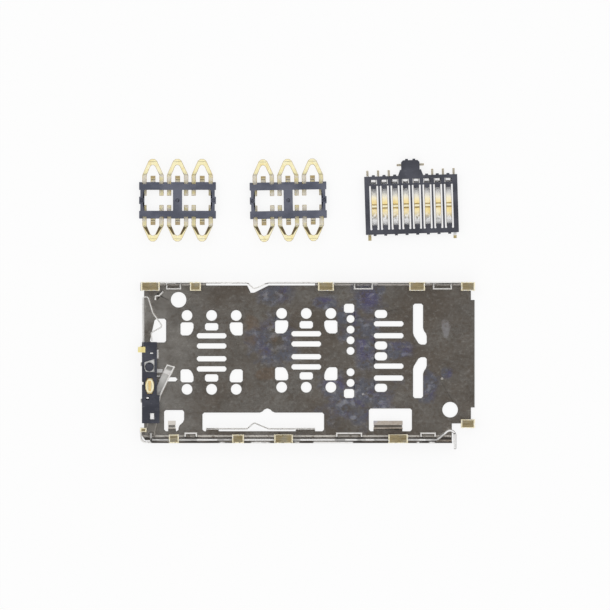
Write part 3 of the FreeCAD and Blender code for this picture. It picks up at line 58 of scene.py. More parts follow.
class Wire:
    """A node's output that takes part in arithmetic, each operation adding one Math node."""

    def __init__(self, graph: "Graph", socket: bpy.types.NodeSocket) -> None:
        """Keep the socket and the graph that it belongs to."""
        self.graph = graph
        self.socket = socket

    def __add__(self, other: "Value") -> "Wire":
        """The sum of two values."""
        return self.graph.math("ADD", self, other)

    def __radd__(self, other: "Value") -> "Wire":
        """The sum with a plain number on the left."""
        return self.graph.math("ADD", other, self)

    def __sub__(self, other: "Value") -> "Wire":
        """The difference of two values."""
        return self.graph.math("SUBTRACT", self, other)

    def __rsub__(self, other: "Value") -> "Wire":
        """The difference from a plain number."""
        return self.graph.math("SUBTRACT", other, self)

    def __mul__(self, other: "Value") -> "Wire":
        """The product of two values."""
        return self.graph.math("MULTIPLY", self, other)

    def __rmul__(self, other: "Value") -> "Wire":
        """The product with a plain number on the left."""
        return self.graph.math("MULTIPLY", other, self)

    def __or__(self, other: "Value") -> "Wire":
        """The larger of two masks."""
        return self.graph.math("MAXIMUM", self, other)

    def sway(self, amount: float) -> "Wire":
        """A noise about zero instead of its mean, times an amount."""
        return (self - NOISE_MEAN) * amount


Value = Wire | float | int | str | Sequence[float]


@dataclass(frozen=True)
class Grain:
    """A noise: its bumps to a millimetre along X, Y and Z, its octaves, and a shift to another pattern."""

    per_mm: Triple
    detail: float = 3.0
    offset: float = 0.0


@dataclass(frozen=True)
class Patch:
    """A mask that fades in from a low to a high value, and how much it then covers."""

    low: float
    high: float
    share: float = 1.0


class Graph:
    """The node tree of one finish, with its coordinates in millimetres."""

    def __init__(self, tree: bpy.types.NodeTree) -> None:
        """Start from an empty tree."""
        self.tree = tree
        tree.nodes.clear()

    def node(self, kind: str, settings: Mapping[str, Any],
             inputs: Mapping[str | int, Value]) -> bpy.types.Node:
        """Add one node.

        Args:
            kind: Blender's type name of the node.
            settings: Properties of the node, set before its sockets.
            inputs: Number, colour or wire for each socket that is named or numbered.

        Returns:
            The new node.
        """
        made = self.tree.nodes.new(kind)
        for key, setting in settings.items():
            setattr(made, key, setting)
        for key, value in inputs.items():
            if isinstance(value, Wire):
                self.tree.links.new(value.socket, made.inputs[key])
            else:
                made.inputs[key].default_value = value
        return made

    def wire(self, kind: str, settings: Mapping[str, Any], inputs: Mapping[str | int, Value],
             out: str | int = 0) -> Wire:
        """Add one node and wrap the output that is named or numbered."""
        return Wire(self, self.node(kind, settings, inputs).outputs[out])

    def math(self, operation: str, left: Value, right: Value) -> Wire:
        """Add a Math node of two values."""
        return self.wire("ShaderNodeMath", {"operation": operation}, {0: left, 1: right})

    def vector(self, operation: str, left: Value, right: Value, out: str = "Vector") -> Wire:
        """Add a Vector Math node of two vectors."""
        return self.wire("ShaderNodeVectorMath", {"operation": operation}, {0: left, 1: right}, out)

    @cached_property
    def place(self) -> Wire:
        """Object coordinates in millimetres."""
        metres = self.wire("ShaderNodeTexCoord", {}, {}, "Object")
        return self.vector("DIVIDE", metres, (MM, MM, MM))

    @cached_property
    def axes(self) -> Mapping[str, Wire]:
        """The three coordinates of the place, in millimetres."""
        parts = self.node("ShaderNodeSeparateXYZ", {}, {"Vector": self.place})
        return {axis: Wire(self, parts.outputs[axis]) for axis in "XYZ"}

    def noise(self, grain: Grain) -> Wire:
        """Add a noise that may be stretched.

        Args:
            grain: Size, octaves and shift of the noise.

        Returns:
            The noise, about 0.5 on average.
        """
        shift = tuple(grain.offset * part for part in NOISE_SHIFT)
        scaled = self.wire("ShaderNodeVectorMath", {"operation": "MULTIPLY_ADD"}, {
            0: self.place, 1: grain.per_mm, 2: shift})
        return self.wire("ShaderNodeTexNoise", {}, {"Vector": scaled, "Scale": 1.0, "Detail": grain.detail})

    def ramp(self, value: Value, low: float, high: float) -> Wire:
        """A smooth step that goes from 0 at low to 1 at high."""
        inputs = {"Value": value, "From Min": low, "From Max": high}
        return self.wire("ShaderNodeMapRange", {"interpolation_type": "SMOOTHSTEP"}, inputs)

    def patch(self, value: Value, patch: Patch) -> Wire:
        """The mask that a patch makes of a value."""
        return self.ramp(value, patch.low, patch.high) * patch.share

    def band(self, value: Wire, span: Span, soft: float) -> Wire:
        """A mask that is 1 between two values and fades over soft at both."""
        low, high = span
        return self.ramp(value, low - soft, low + soft) * (1 - self.ramp(value, high - soft, high + soft))

    def bands(self, value: Wire, spans: Sequence[Span], soft: float) -> Wire:
        """Several bands in one mask.

        Args:
            value: What the bands are taken of.
            spans: Low and high end of each band.
            soft: How far each end fades to both sides.

        Returns:
            A mask that is 1 inside any of the bands.
        """
        mask = self.band(value, spans[0], soft)
        for span in spans[1:]:
            mask = mask | self.band(value, span, soft)
        return mask

    def specks(self, per_mm: float, size: float, empty: float) -> Wire:
        """Small round specks, scattered.

        Args:
            per_mm: Cells to a millimetre, each of which may hold one speck.
            size: Radius of a speck against its cell.
            empty: How large a part of the cells stays empty.

        Returns:
            A mask that is 1 on the specks.
        """
        cells = self.node("ShaderNodeTexVoronoi", {}, {"Vector": self.place, "Scale": per_mm})
        near = 1 - self.ramp(Wire(self, cells.outputs["Distance"]), size * SPECK_CORE, size)
        lot = self.wire("ShaderNodeSeparateColor", {}, {"Color": Wire(self, cells.outputs["Color"])}, "Red")
        return near * self.ramp(lot, empty, empty + SPECK_FADE)

    def blend(self, share: Value, first: Value, second: Value) -> Wire:
        """Mix two colours.

        Args:
            share: How much of the second colour shows.
            first: Colour where share is 0.
            second: Colour where share is 1.

        Returns:
            The mixed colour.
        """
        under, over = (each if isinstance(each, Wire) else (*each, 1.0) for each in (first, second))
        # A Mix node has a set of sockets for each data type: 6, 7 and output 2 are those of colours.
        return self.wire("ShaderNodeMix", {"data_type": "RGBA"}, {0: share, 6: under, 7: over}, 2)

    def layers(self, ground: Value, layers: Sequence[tuple[Value, Value]]) -> Value:
        """Lay colours over each other.

        Args:
            ground: The colour under all of them.
            layers: Mask and colour of each layer, the lowest first.

        Returns:
            The colour with all its layers.
        """
        for share, colour in layers:
            ground = self.blend(share, ground, colour)
        return ground

    def bump(self, height: Wire, depth: float) -> Wire:
        """A Bump node whose relief is depth millimetres deep."""
        return self.wire("ShaderNodeBump", {}, {"Height": height, "Distance": depth * MM}, "Normal")


@dataclass(frozen=True)
class Finish(ABC):
    """A surface finish that is made into a material once."""

    name: str

    @abstractmethod
    def shade(self, graph: Graph) -> bpy.types.Node:
        """Lay the nodes and return the surface shader."""

    def metal(self, graph: Graph, colour: Value, rough: Wire, normal: Wire,
              metallic: Value = 1.0) -> bpy.types.Node:
        """A metal surface from its colour, roughness and relief."""
        return graph.node("ShaderNodeBsdfPrincipled", {}, {
            "Base Color": colour, "Metallic": metallic, "Roughness": rough, "Normal": normal})

    @cached_property
    def material(self) -> bpy.types.Material:
        """The finish's material, made on first use.

        Returns:
            The material with its surface connected.
        """
        made = bpy.data.materials.new(self.name)
        made.use_nodes = True
        graph = Graph(made.node_tree)
        surface = self.shade(graph)
        end = graph.node("ShaderNodeOutputMaterial", {}, {})
        made.node_tree.links.new(surface.outputs[0], end.inputs["Surface"])
        return made


@dataclass(frozen=True)
class Stain:
    """An oval area of heat tint on the roof, in millimetres."""

    x: float
    y: float
    long: float
    wide: float


@dataclass(frozen=True)
class StainedSheet(Finish):
    """Rolled stainless strip with heat tint, handling stains and a fine grain along its length."""

    clean: Colour = (0.53, 0.495, 0.45)
    brown: Colour = (0.36, 0.30, 0.245)
    # Pale: used for scuffs and dirt, and also for the painted light on the left end and the painted
    # highlight along the folds.
    pale: Colour = (0.80, 0.77, 0.72)
    blue: Colour = (0.37, 0.385, 0.475)
    violet: Colour = (0.32, 0.28, 0.54)
    crust: Colour = (0.54, 0.56, 0.64)
    rust: Colour = (0.53, 0.40, 0.30)
    # Painted shade, laid dark in both folds of the roof into the walls.
    painted_fold_shade: Colour = (0.11, 0.10, 0.095)
    stains: tuple[Stain, ...] = (
        Stain(-3.1, 1.1, 2.2, 1.3), Stain(-3.3, -3.7, 2.6, 2.9), Stain(1.8, 0.2, 1.5, 0.8),
        Stain(6.4, 0.6, 1.8, 1.9), Stain(4.4, -1.7, 1.4, 2.1), Stain(6.1, -4.1, 1.5, 3.3),
        Stain(9.5, -4.7, 2.2, 1.2), Stain(5.5, -10.1, 4.2, 2.7), Stain(12.6, -8.6, 1.1, 2.0),
        Stain(14.6, -7.2, 0.7, 0.7), Stain(2.9, -8.5, 1.8, 1.6))
    smear: Stain = Stain(14.4, -2.6, 0.5, 1.3)
    deep: Stain = Stain(6.4, 0.5, 1.2, 1.3)
    rust_stains: tuple[Stain, ...] = (
        Stain(-5.7, -3.1, 1.0, 1.9), Stain(-4.2, -7.2, 1.2, 0.7), Stain(-3.36, -3.53, 0.3, 0.3))
    stain_edge: Patch = Patch(0.55, 1.15)
    deep_edge: Patch = Patch(0.4, 1.1)
    smear_edge: Patch = Patch(0.5, 1.1)
    ragged: float = 2.0
    deep_ragged: float = 1.0
    cloud: Grain = Grain((0.13, 0.17, 0.2), 4.0)
    mottle: Grain = Grain((0.5, 0.6, 0.6), 5.0, 7.0)
    blotch: Grain = Grain((0.75, 0.8, 0.8), 5.0, 15.0)
    grain: Grain = Grain((0.7, 24.0, 9.0), 3.0, 3.0)
    fleck: Grain = Grain((2.4, 2.6, 2.4), 5.0, 21.0)
    bloom: Grain = Grain((1.3, 1.4, 1.3), 2.0, 27.0)
    fine: Grain = Grain((3.0, 3.4, 3.0), 4.0, 33.0)
    clouded: Patch = Patch(0.36, 0.64, 0.75)
    right_end: Patch = Patch(9.0, 17.0)
    right_brown: Patch = Patch(0.3, 0.6, 0.2)
    # Painted light: the roof is laid paler towards its left end, as if lit more from that side.
    painted_light_left_end: Patch = Patch(-17.5, -9.0)
    painted_light_left_patch: Patch = Patch(0.2, 0.65, 0.9)
    blued: Patch = Patch(0.25, 0.50, 0.9)
    purpled: Patch = Patch(0.46, 0.66)
    flecked: Patch = Patch(0.50, 0.30, 0.7)
    bloomed: Patch = Patch(0.50, 0.72)
    scuffed: Patch = Patch(0.52, 0.74, 0.4)
    pitted: Patch = Patch(0.48, 0.28, 0.55)
    fold_sheen_breakup: Patch = Patch(0.30, 0.45)
    rust_share: float = 0.75
    violet_share: float = 0.75
    smear_share: float = 0.9
    crust_share: float = 0.42
    dirt_share: float = 0.6
    small_dirt: Triple = (0.9, 0.13, 0.90)
    large_dirt: Triple = (0.5, 0.10, 0.80)
    # Painted highlight and painted shade along both folds into the walls: a pale line where the bend
    # catches light, then a dark line of shade in the fold.
    fold_sheen_lines: tuple[Span, ...] = ((-13.76, -13.56), (1.90, 1.99))
    fold_shade_lines: tuple[Span, ...] = ((-13.93, -13.80), (2.02, 2.11))
    line_soft: float = 0.03
    roughness: float = 0.24
    uneven: float = 0.10
    crust_rough: float = 0.08
    dirt_rough: float = 0.2
    fold_sheen_rough: float = 0.34
    blotch_relief: float = 0.6
    relief: float = 0.0016

    def reach(self, graph: Graph, stain: Stain) -> Wire:
        """Measure how far a place is from a stain.

        Args:
            graph: The graph of the finish.
            stain: The stain.

        Returns:
            0 in the stain's middle and 1 on its outline.
        """
        offset = graph.vector("SUBTRACT", graph.place, (stain.x, stain.y, 0.0))
        scaled = graph.vector("MULTIPLY", offset, (1 / stain.long, 1 / stain.wide, 0.0))
        return graph.wire("ShaderNodeVectorMath", {"operation": "LENGTH"}, {0: scaled}, "Value")

    def tint(self, graph: Graph, stains: Sequence[Stain], noise: Wire) -> Wire:
        """Find where a group of stains lies.

        Args:
            graph: The graph of the finish.
            stains: The stains.
            noise: What breaks their outlines.

        Returns:
            A mask that is 1 inside the stains.
        """
        nearest = self.reach(graph, stains[0])
        for stain in stains[1:]:
            nearest = graph.math("MINIMUM", nearest, self.reach(graph, stain))
        return 1 - graph.patch(nearest + noise.sway(self.ragged), self.stain_edge)

    def shade(self, graph: Graph) -> bpy.types.Node:
        """Lay mottling, heat tint, dirt, painted light on the left end, and painted highlight and painted
        shade along both folds over the strip.

        Args:
            graph: The graph of the finish.

        Returns:
            The surface shader.
        """
        cloud, mottle, blotch, grain, fleck, bloom, fine = (graph.noise(each) for each in (
            self.cloud, self.mottle, self.blotch, self.grain, self.fleck, self.bloom, self.fine))
        along, across = graph.axes["X"], graph.axes["Y"]
        right = graph.patch(along, self.right_end) * graph.patch(mottle, self.right_brown)
        # painted light, paler towards the left end
        left = (1 - graph.patch(along, self.painted_light_left_end)) * graph.patch(mottle, self.painted_light_left_patch)
        rust = self.tint(graph, self.rust_stains, mottle) * self.rust_share
        tint = self.tint(graph, self.stains, blotch)
        deep = 1 - graph.patch(self.reach(graph, self.deep) + mottle.sway(self.deep_ragged), self.deep_edge)
        smear = 1 - graph.patch(self.reach(graph, self.smear) + blotch.sway(self.ragged), self.smear_edge)
        crust = tint * graph.patch(bloom, self.bloomed) | smear * self.smear_share
        dirt = graph.specks(*self.small_dirt) | graph.specks(*self.large_dirt)
        # painted highlight along both folds
        painted_sheen = graph.bands(across, self.fold_sheen_lines, self.line_soft)
        toned = graph.layers(self.clean, (
            (graph.patch(cloud, self.clouded), self.brown),
            (right, self.brown),
            (rust, self.rust),
            (tint * graph.patch(mottle, self.blued), self.blue),
            (tint * (graph.patch(blotch, self.purpled) | deep) * self.violet_share, self.violet),
            (graph.patch(fleck, self.flecked), self.brown),
            (crust * self.crust_share, self.crust),
            (graph.patch(fine, self.scuffed), self.pale),
            (graph.patch(fine, self.pitted), self.brown),
            # pale dirt specks, with the painted light on the left end
            (dirt * self.dirt_share | left, self.pale),
            # painted highlight along both folds, broken up by fine noise
            (painted_sheen * graph.patch(fine, self.fold_sheen_breakup), self.pale),
            # painted shade in both folds
            (graph.bands(across, self.fold_shade_lines, self.line_soft), self.painted_fold_shade)))
        rough = (self.roughness + grain.sway(self.uneven) + mottle.sway(self.uneven)
                 + crust * self.crust_rough + dirt * self.dirt_rough + painted_sheen * self.fold_sheen_rough)
        return self.metal(graph, toned, rough, graph.bump(grain + blotch * self.blotch_relief, self.relief))


@dataclass(frozen=True)
class CutEdge(Finish):
    """The bright, torn edge that the press leaves round the sheet, with painted shade where it rolls into a
    hole and in dashes along both wall tops.
    """

    clean: Colour = (0.93, 0.92, 0.90)
    torn: Colour = (0.72, 0.70, 0.67)
    cream: Colour = (0.95, 0.88, 0.66)
    # Painted shade: the low cut edges round the holes and the sheet's outer edges, where the edge rolls
    # over.
    rolled: Colour = (0.17, 0.16, 0.15)
    # Painted shade: broken dark dashes along the tops of both walls, beside the roof.
    wall_top_shade: Colour = (0.13, 0.12, 0.11)
    tear: Grain = Grain((4.0, 4.0, 1.4), 4.0)
    fine: Grain = Grain((15.0, 15.0, 6.0), 2.0, 5.0)
    breaks: Grain = Grain((0.5, 0.3, 0.3), 3.0, 11.0)
    streaked: Patch = Patch(0.48, 0.72, 0.7)
    broken: Patch = Patch(0.44, 0.50)
    plated: Patch = Patch(0.30, 0.55)
    shaded_rim_below: float = 0.16
    plated_from: float = 1.27
    wall_top_shade_lines: tuple[Span, ...] = ((-14.42, -14.20), (2.06, 2.13))
    fade: float = 0.02
    roughness: float = 0.58
    uneven: float = 0.3
    relief: float = 0.010

    def shade(self, graph: Graph) -> bpy.types.Node:
        """Lay torn streaks, painted shade on the rolled rims and in dashes along the wall tops across the
        edge, under gold where it belongs to a solder foot.

        Args:
            graph: The graph of the finish.

        Returns:
            The surface shader.
        """
        tear, fine, breaks = (graph.noise(each) for each in (self.tear, self.fine, self.breaks))
        level = graph.axes["Z"]
        # painted shade on the rolled-over rims low on the sheet
        rolled = 1 - graph.ramp(level, self.shaded_rim_below, self.shaded_rim_below + self.fade)
        # painted shade along both wall tops, broken into dashes by noise
        wall_top_shade = graph.bands(graph.axes["Y"], self.wall_top_shade_lines, self.fade)
        plated = graph.ramp(level, self.plated_from, self.plated_from + self.fade)
        toned = graph.layers(self.clean, (
            (graph.patch(tear, self.streaked), self.torn),
            (rolled, self.rolled),
            (wall_top_shade * graph.patch(breaks, self.broken), self.wall_top_shade),
            (plated * graph.patch(tear, self.plated), self.cream)))
        rough = self.roughness + fine.sway(self.uneven)
        return self.metal(graph, toned, rough, graph.bump(fine, self.relief))


@dataclass(frozen=True)
class BrightStretchEdge(CutEdge):
    """A cut edge that is brighter in stretches along its length."""

    clean: Colour = (0.74, 0.73, 0.72)
    torn: Colour = (0.50, 0.49, 0.48)
    stretch_bright: Colour = (0.99, 0.98, 0.97)
    tear: Grain = Grain((1.6, 4.0, 4.0), 4.0)
    fine: Grain = Grain((9.0, 15.0, 6.0), 2.0, 5.0)
    streaked: Patch = Patch(0.42, 0.60, 0.8)
    stretches: tuple[Span, ...] = (
        (-11.3, -9.2), (-6.6, -2.4), (-0.6, 2.9), (4.0, 5.2), (6.1, 7.0), (9.6, 10.0), (11.6, 12.3),
        (14.2, 15.6))
    stretch_soft: float = 0.08
    ragged: float = 0.3

    def shade(self, graph: Graph) -> bpy.types.Node:
        """Lay the brighter stretches over the torn edge.

        Args:
            graph: The graph of the finish.

        Returns:
            The surface shader.
        """
        tear, fine = graph.noise(self.tear), graph.noise(self.fine)
        along = graph.axes["X"] + fine.sway(self.ragged)
        toned = graph.layers(self.clean, (
            (graph.patch(tear, self.streaked), self.torn),
            (graph.bands(along, self.stretches, self.stretch_soft), self.stretch_bright)))
        rough = self.roughness + fine.sway(self.uneven)
        return self.metal(graph, toned, rough, graph.bump(fine, self.relief))


@dataclass(frozen=True)
class StripSteel(Finish):
    """Bright spring strip with drawing lines along it."""

    clean: Colour = (0.74, 0.73, 0.71)
    dull: Colour = (0.52, 0.505, 0.48)
    line: Grain = Grain((1.2, 12.0, 12.0))
    prints: Grain = Grain((0.6, 0.8, 0.7), 4.0, 4.0)
    dulled: Patch = Patch(0.40, 0.66, 0.8)
    roughness: float = 0.42
    line_rough: float = 0.10
    print_rough: float = 0.2
    relief: float = 0.0015
    metallic: float = 1.0

    def shade(self, graph: Graph) -> bpy.types.Node:
        """Lay drawing lines and dull fingerprints on the strip.

        Args:
            graph: The graph of the finish.

        Returns:
            The surface shader.
        """
        line, prints = graph.noise(self.line), graph.noise(self.prints)
        toned = graph.blend(graph.patch(prints, self.dulled), self.clean, self.dull)
        rough = self.roughness + line.sway(self.line_rough) + prints.sway(self.print_rough)
        return self.metal(graph, toned, rough, graph.bump(line, self.relief), self.metallic)


@dataclass(frozen=True)
class LeverSteel(StripSteel):
    """Satin strip with a band of painted highlight across the arm, painted shade on the tip above it and on
    the tail.
    """

    line: Grain = Grain((9.0, 9.0, 9.0))
    prints: Grain = Grain((0.9, 0.9, 0.9), 4.0, 4.0)
    dulled: Patch = Patch(0.35, 0.65, 0.6)
    # Painted highlight: the bright band across the arm.
    painted_sheen: Colour = (0.97, 0.96, 0.95)
    shadow: Colour = (0.40, 0.385, 0.36)
    # Painted shade: the tail is laid darker, as dark as the roof beside it.
    tail: Colour = (0.50, 0.47, 0.43)
    band_middle: Triple = (-14.22, -7.09, 0.0)
    along: Triple = (0.388, 0.922, 0.0)
    ragged: float = 0.1
    band: Span = (-0.22, 0.22)
    band_soft: float = 0.06
    tip: Patch = Patch(0.22, 0.37, 0.8)
    body_from: Patch = Patch(-10.7, -10.3)
    line_rough: float = 0.12
    band_rough: float = 0.25
    tail_shine: float = 0.3

    def shade(self, graph: Graph) -> bpy.types.Node:
        """Lay the band of painted highlight, the painted shade on the tip above it and on the tail over the
        satin strip.

        Args:
            graph: The graph of the finish.

        Returns:
            The surface shader.
        """
        line, prints = graph.noise(self.line), graph.noise(self.prints)
        offset = graph.vector("SUBTRACT", graph.place, self.band_middle)
        reach = graph.vector("DOT_PRODUCT", offset, self.along, "Value") + prints.sway(self.ragged)
        # painted highlight band across the arm
        band = graph.band(reach, self.band, self.band_soft)
        # painted shade on the tail
        tail = 1 - graph.patch(graph.axes["Y"], self.body_from)
        toned = graph.layers(self.clean, (
            (graph.patch(prints, self.dulled), self.dull),
            (graph.patch(reach, self.tip), self.shadow),
            (band, self.painted_sheen),
            (tail, self.tail)))
        rough = (self.roughness + line.sway(self.line_rough)
                 + band * self.band_rough - tail * self.tail_shine)
        return self.metal(graph, toned, rough, graph.bump(line, self.relief))


@dataclass(frozen=True)
class GoldPlate(Finish):
    """A thin gold flash over nickel, paler where it is worn, with streaks along the rolled strip."""

    clean: Colour = (0.95, 0.87, 0.53)
    worn: Colour = (0.97, 0.92, 0.70)
    deep: Colour = (0.86, 0.68, 0.30)
    streak: Grain = Grain((12.0, 1.4, 10.0), 2.0, 2.0)
    wear: Grain = Grain((1.2, 1.1, 1.2), 4.0)
    worn_at: Patch = Patch(0.45, 0.70, 0.75)
    deep_at: Patch = Patch(0.48, 0.70, 0.6)
    deep_stretch: float = 0.3
    deep_offset: float = 6.0
    roughness: float = 0.25
    line_rough: float = 0.14
    relief: float = 0.0015

    def plate(self, graph: Graph) -> Value:
        """Colour the plate from worn to deep gold.

        Args:
            graph: The graph of the finish.

        Returns:
            The plate's colour.
        """
        stretched = tuple(self.deep_stretch * each for each in self.streak.per_mm)
        deep = graph.noise(Grain(stretched, offset=self.deep_offset))
        return graph.layers(self.clean, (
            (graph.patch(graph.noise(self.wear), self.worn_at), self.worn),
            (graph.patch(deep, self.deep_at), self.deep)))

    def shade(self, graph: Graph) -> bpy.types.Node:
        """Lay worn nickel, deeper gold and rolling lines on the plate.

        Args:
            graph: The graph of the finish.

        Returns:
            The surface shader.
        """
        line = graph.noise(self.streak)
        rough = self.roughness + line.sway(self.line_rough)
        return self.metal(graph, self.plate(graph), rough, graph.bump(line, self.relief))


@dataclass(frozen=True)
class SimGold(GoldPlate):
    """Gold plate, satin on its flat parts, with painted shade on the inner sides of the lower arms and in
    the tails' bends, and brown tail ends.
    """

    column: float = -13.31
    pitch: float = 2.54
    middle: float = 10.70
    flat: Span = (8.04, 13.36)
    flat_soft: float = 0.06
    satin: float = 0.36
    tin: Colour = (0.90, 0.85, 0.74)
    tin_wear: Grain = Grain((1.6, 1.9, 1.6), 3.0, 17.0)
    tinned: Patch = Patch(0.36, 0.60)
    # Painted shade: dark colour on the inner sides of the lower arms and in the tails' bends.
    painted_fold_shade: Colour = (0.10, 0.07, 0.03)
    crease_span: Span = (7.12, 7.92)
    crease_soft: float = 0.03
    crease_start: float = 0.20
    crease_slope: float = 0.645
    crease_side: Patch = Patch(0.21, 0.29)
    crease_share: float = 0.95
    tail_side: Patch = Patch(0.30, 0.33)
    tail_end: Span = (2.22, 2.64)
    tail_brown: Colour = (0.50, 0.37, 0.17)
    end_soft: float = 0.03
    end_share: float = 0.75
    tail_bend_shade: Span = (2.07, 2.15)
    bend_soft: float = 0.02
    bend_share: float = 0.8

    def shade(self, graph: Graph) -> bpy.types.Node:
        """Lay the plate with its satin flat parts, the painted shade on the lower arms and the tails.

        Args:
            graph: The graph of the finish.

        Returns:
            The surface shader.
        """
        line, wear = graph.noise(self.streak), graph.noise(self.tin_wear)
        height = graph.axes["Y"]
        flat = graph.band(height, self.flat, self.flat_soft)
        aside = graph.math("PINGPONG", graph.axes["X"] - self.column, self.pitch / 2)
        edge = aside - (height - self.crease_span[0]) * self.crease_slope - self.crease_start
        # painted shade on the inner sides of the lower arms
        painted_fold_shade = graph.band(height, self.crease_span, self.crease_soft) * (
            1 - graph.patch(edge, self.crease_side))
        away = graph.math("ABSOLUTE", height - self.middle, 0.0)
        tail = 1 - graph.patch(aside, self.tail_side)
        end = tail * graph.band(away, self.tail_end, self.end_soft)
        # painted shade in the bend of each tail
        bend = tail * graph.band(away, self.tail_bend_shade, self.bend_soft)
        toned = graph.layers(self.plate(graph), (
            (flat * graph.patch(wear, self.tinned), self.tin),
            (end * self.end_share, self.tail_brown),
            (painted_fold_shade * self.crease_share | bend * self.bend_share, self.painted_fold_shade)))
        rough = self.roughness + line.sway(self.line_rough) + flat * self.satin
        return self.metal(graph, toned, rough, graph.bump(line, self.relief))


@dataclass(frozen=True)
class SpotGold(GoldPlate):
    """Nickel strip with gold only on its tails and round the crest that meets the card."""

    nickel: Colour = (0.97, 0.965, 0.96)
    stain: Colour = (0.34, 0.33, 0.32)
    bend: Colour = (0.40, 0.25, 0.06)
    crown: Colour = (0.99, 0.93, 0.68)
    scuff: Grain = Grain((5.0, 2.6, 4.0), 5.0, 13.0)
    scuffed: Patch = Patch(0.44, 0.58, 0.9)
    scuff_span: Span = (8.75, 9.7)
    scuff_soft: float = 0.2
    spot: Span = (9.2, 11.3)
    spot_soft: float = 0.45
    ragged: float = 0.7
    paler: Patch = Patch(10.35, 11.3)
    middle: float = 10.13
    tail: Patch = Patch(3.0, 3.1)
    column: float = 10.9
    slope: float = 0.028
    bends: tuple[Span, Span] = ((9.92, 10.03), (10.27, 10.36))
    bend_soft: float = 0.02
    bend_share: float = 0.85
    bare_roughness: float = 0.80
    scuff_rough: float = 0.2
    bare_metal: float = 0.25

    def shade(self, graph: Graph) -> bpy.types.Node:
        """Lay the gold, the crest's two bends and its pale crown over nickel that the card has scuffed.

        Args:
            graph: The graph of the finish.

        Returns:
            The surface shader.
        """
        line, scuff = graph.noise(self.streak), graph.noise(self.scuff)
        height = graph.axes["Y"]
        below = graph.band(height, self.scuff_span, self.scuff_soft)
        bare = graph.blend(graph.patch(scuff, self.scuffed) * below, self.nickel, self.stain)
        away = graph.math("ABSOLUTE", height - self.middle, 0.0)
        gold = graph.band(height + scuff.sway(self.ragged), self.spot, self.spot_soft) | (
            graph.patch(away, self.tail))
        rich = graph.blend(graph.patch(height, self.paler), self.plate(graph), self.worn)
        square = height - (graph.axes["X"] - self.column) * self.slope
        lower, upper = self.bends
        crown = graph.band(square, (lower[1], upper[0]), self.bend_soft)
        toned = graph.layers(bare, (
            (gold, rich),
            (graph.bands(square, self.bends, self.bend_soft) * self.bend_share, self.bend),
            (crown, self.crown)))
        gloss = gold * (1 - crown)
        rough = self.bare_roughness + gloss * (self.roughness - self.bare_roughness)
        shine = self.bare_metal + gloss * (1 - self.bare_metal)
        return self.metal(graph, toned, rough + scuff.sway(self.scuff_rough),
                          graph.bump(line, self.relief), shine)


@dataclass(frozen=True)
class Moulding(Finish):
    """Glass-filled connector plastic with a fine spark-eroded skin and a few pale fibre marks."""

    body: Colour = (0.080, 0.087, 0.122)
    bloom: Colour = (0.132, 0.140, 0.185)
    fibre: Colour = (0.22, 0.225, 0.25)
    flow: Grain = Grain((0.45, 0.6, 0.6), 4.0)
    strands: Grain = Grain((2.2, 13.0, 9.0), 2.0, 9.0)
    skin: Grain = Grain((9.0, 9.0, 9.0), 3.0, 1.0)
    bloomed: Patch = Patch(0.36, 0.66)
    marked: Patch = Patch(0.62, 0.78, 0.45)
    roughness: float = 0.46
    skin_rough: float = 0.25
    flow_rough: float = 0.12
    relief: float = 0.006

    def shade(self, graph: Graph) -> bpy.types.Node:
        """Lay flow marks, fibres and the eroded skin.

        Args:
            graph: The graph of the finish.

        Returns:
            The surface shader.
        """
        flow, strands, skin = (graph.noise(each) for each in (self.flow, self.strands, self.skin))
        toned = graph.layers(self.body, (
            (graph.patch(flow, self.bloomed), self.bloom),
            (graph.patch(strands, self.marked), self.fibre)))
        rough = self.roughness + skin.sway(self.skin_rough) + flow.sway(self.flow_rough)
        return graph.node("ShaderNodeBsdfPrincipled", {}, {
            "Base Color": toned, "Roughness": rough, "Normal": graph.bump(skin, self.relief)})


@dataclass(frozen=True)
class StudioPaper(Finish):
    """White paper that shows as the plain background and still takes a soft shadow."""

    paper: Colour = (0.99, 0.99, 0.99)
    shade_tone: Colour = (0.96, 0.96, 0.96)
    pulp: Grain = Grain((0.05, 0.05, 0.05))
    pulp_share: float = 0.1
    glow: float = 1.0
    lift: float = 0.82

    def shade(self, graph: Graph) -> bpy.types.Node:
        """Mix the lit paper with plain white for what the camera and mirrors see.

        Args:
            graph: The graph of the finish.

        Returns:
            The surface shader.
        """
        toned = graph.blend(graph.noise(self.pulp) * self.pulp_share, self.paper, self.shade_tone)
        lit = graph.wire("ShaderNodeBsdfDiffuse", {}, {"Color": toned})
        white = graph.wire("ShaderNodeEmission", {}, {"Color": WHITE, "Strength": self.glow})
        path = graph.node("ShaderNodeLightPath", {}, {})
        rays = ("Is Camera Ray", "Is Glossy Ray", "Is Transmission Ray")
        camera, glossy, through = (Wire(graph, path.outputs[ray]) for ray in rays)
        seen = (camera | glossy | through) * self.lift
        return graph.node("ShaderNodeMixShader", {}, {0: seen, 1: lit, 2: white})


SHEET = StainedSheet("stained_sheet_steel")
EDGE = CutEdge("bright_cut_edge")
ROD_EDGE = BrightStretchEdge("bright_stretch_rod_edge")
LEVER = LeverSteel("satin_lever_steel", clean=(0.78, 0.77, 0.75), dull=(0.62, 0.605, 0.58), roughness=0.60)
TINNED = StripSteel("matte_tinned_steel", clean=(0.96, 0.955, 0.945), dull=(0.84, 0.835, 0.83),
                    roughness=0.55, metallic=0.15)
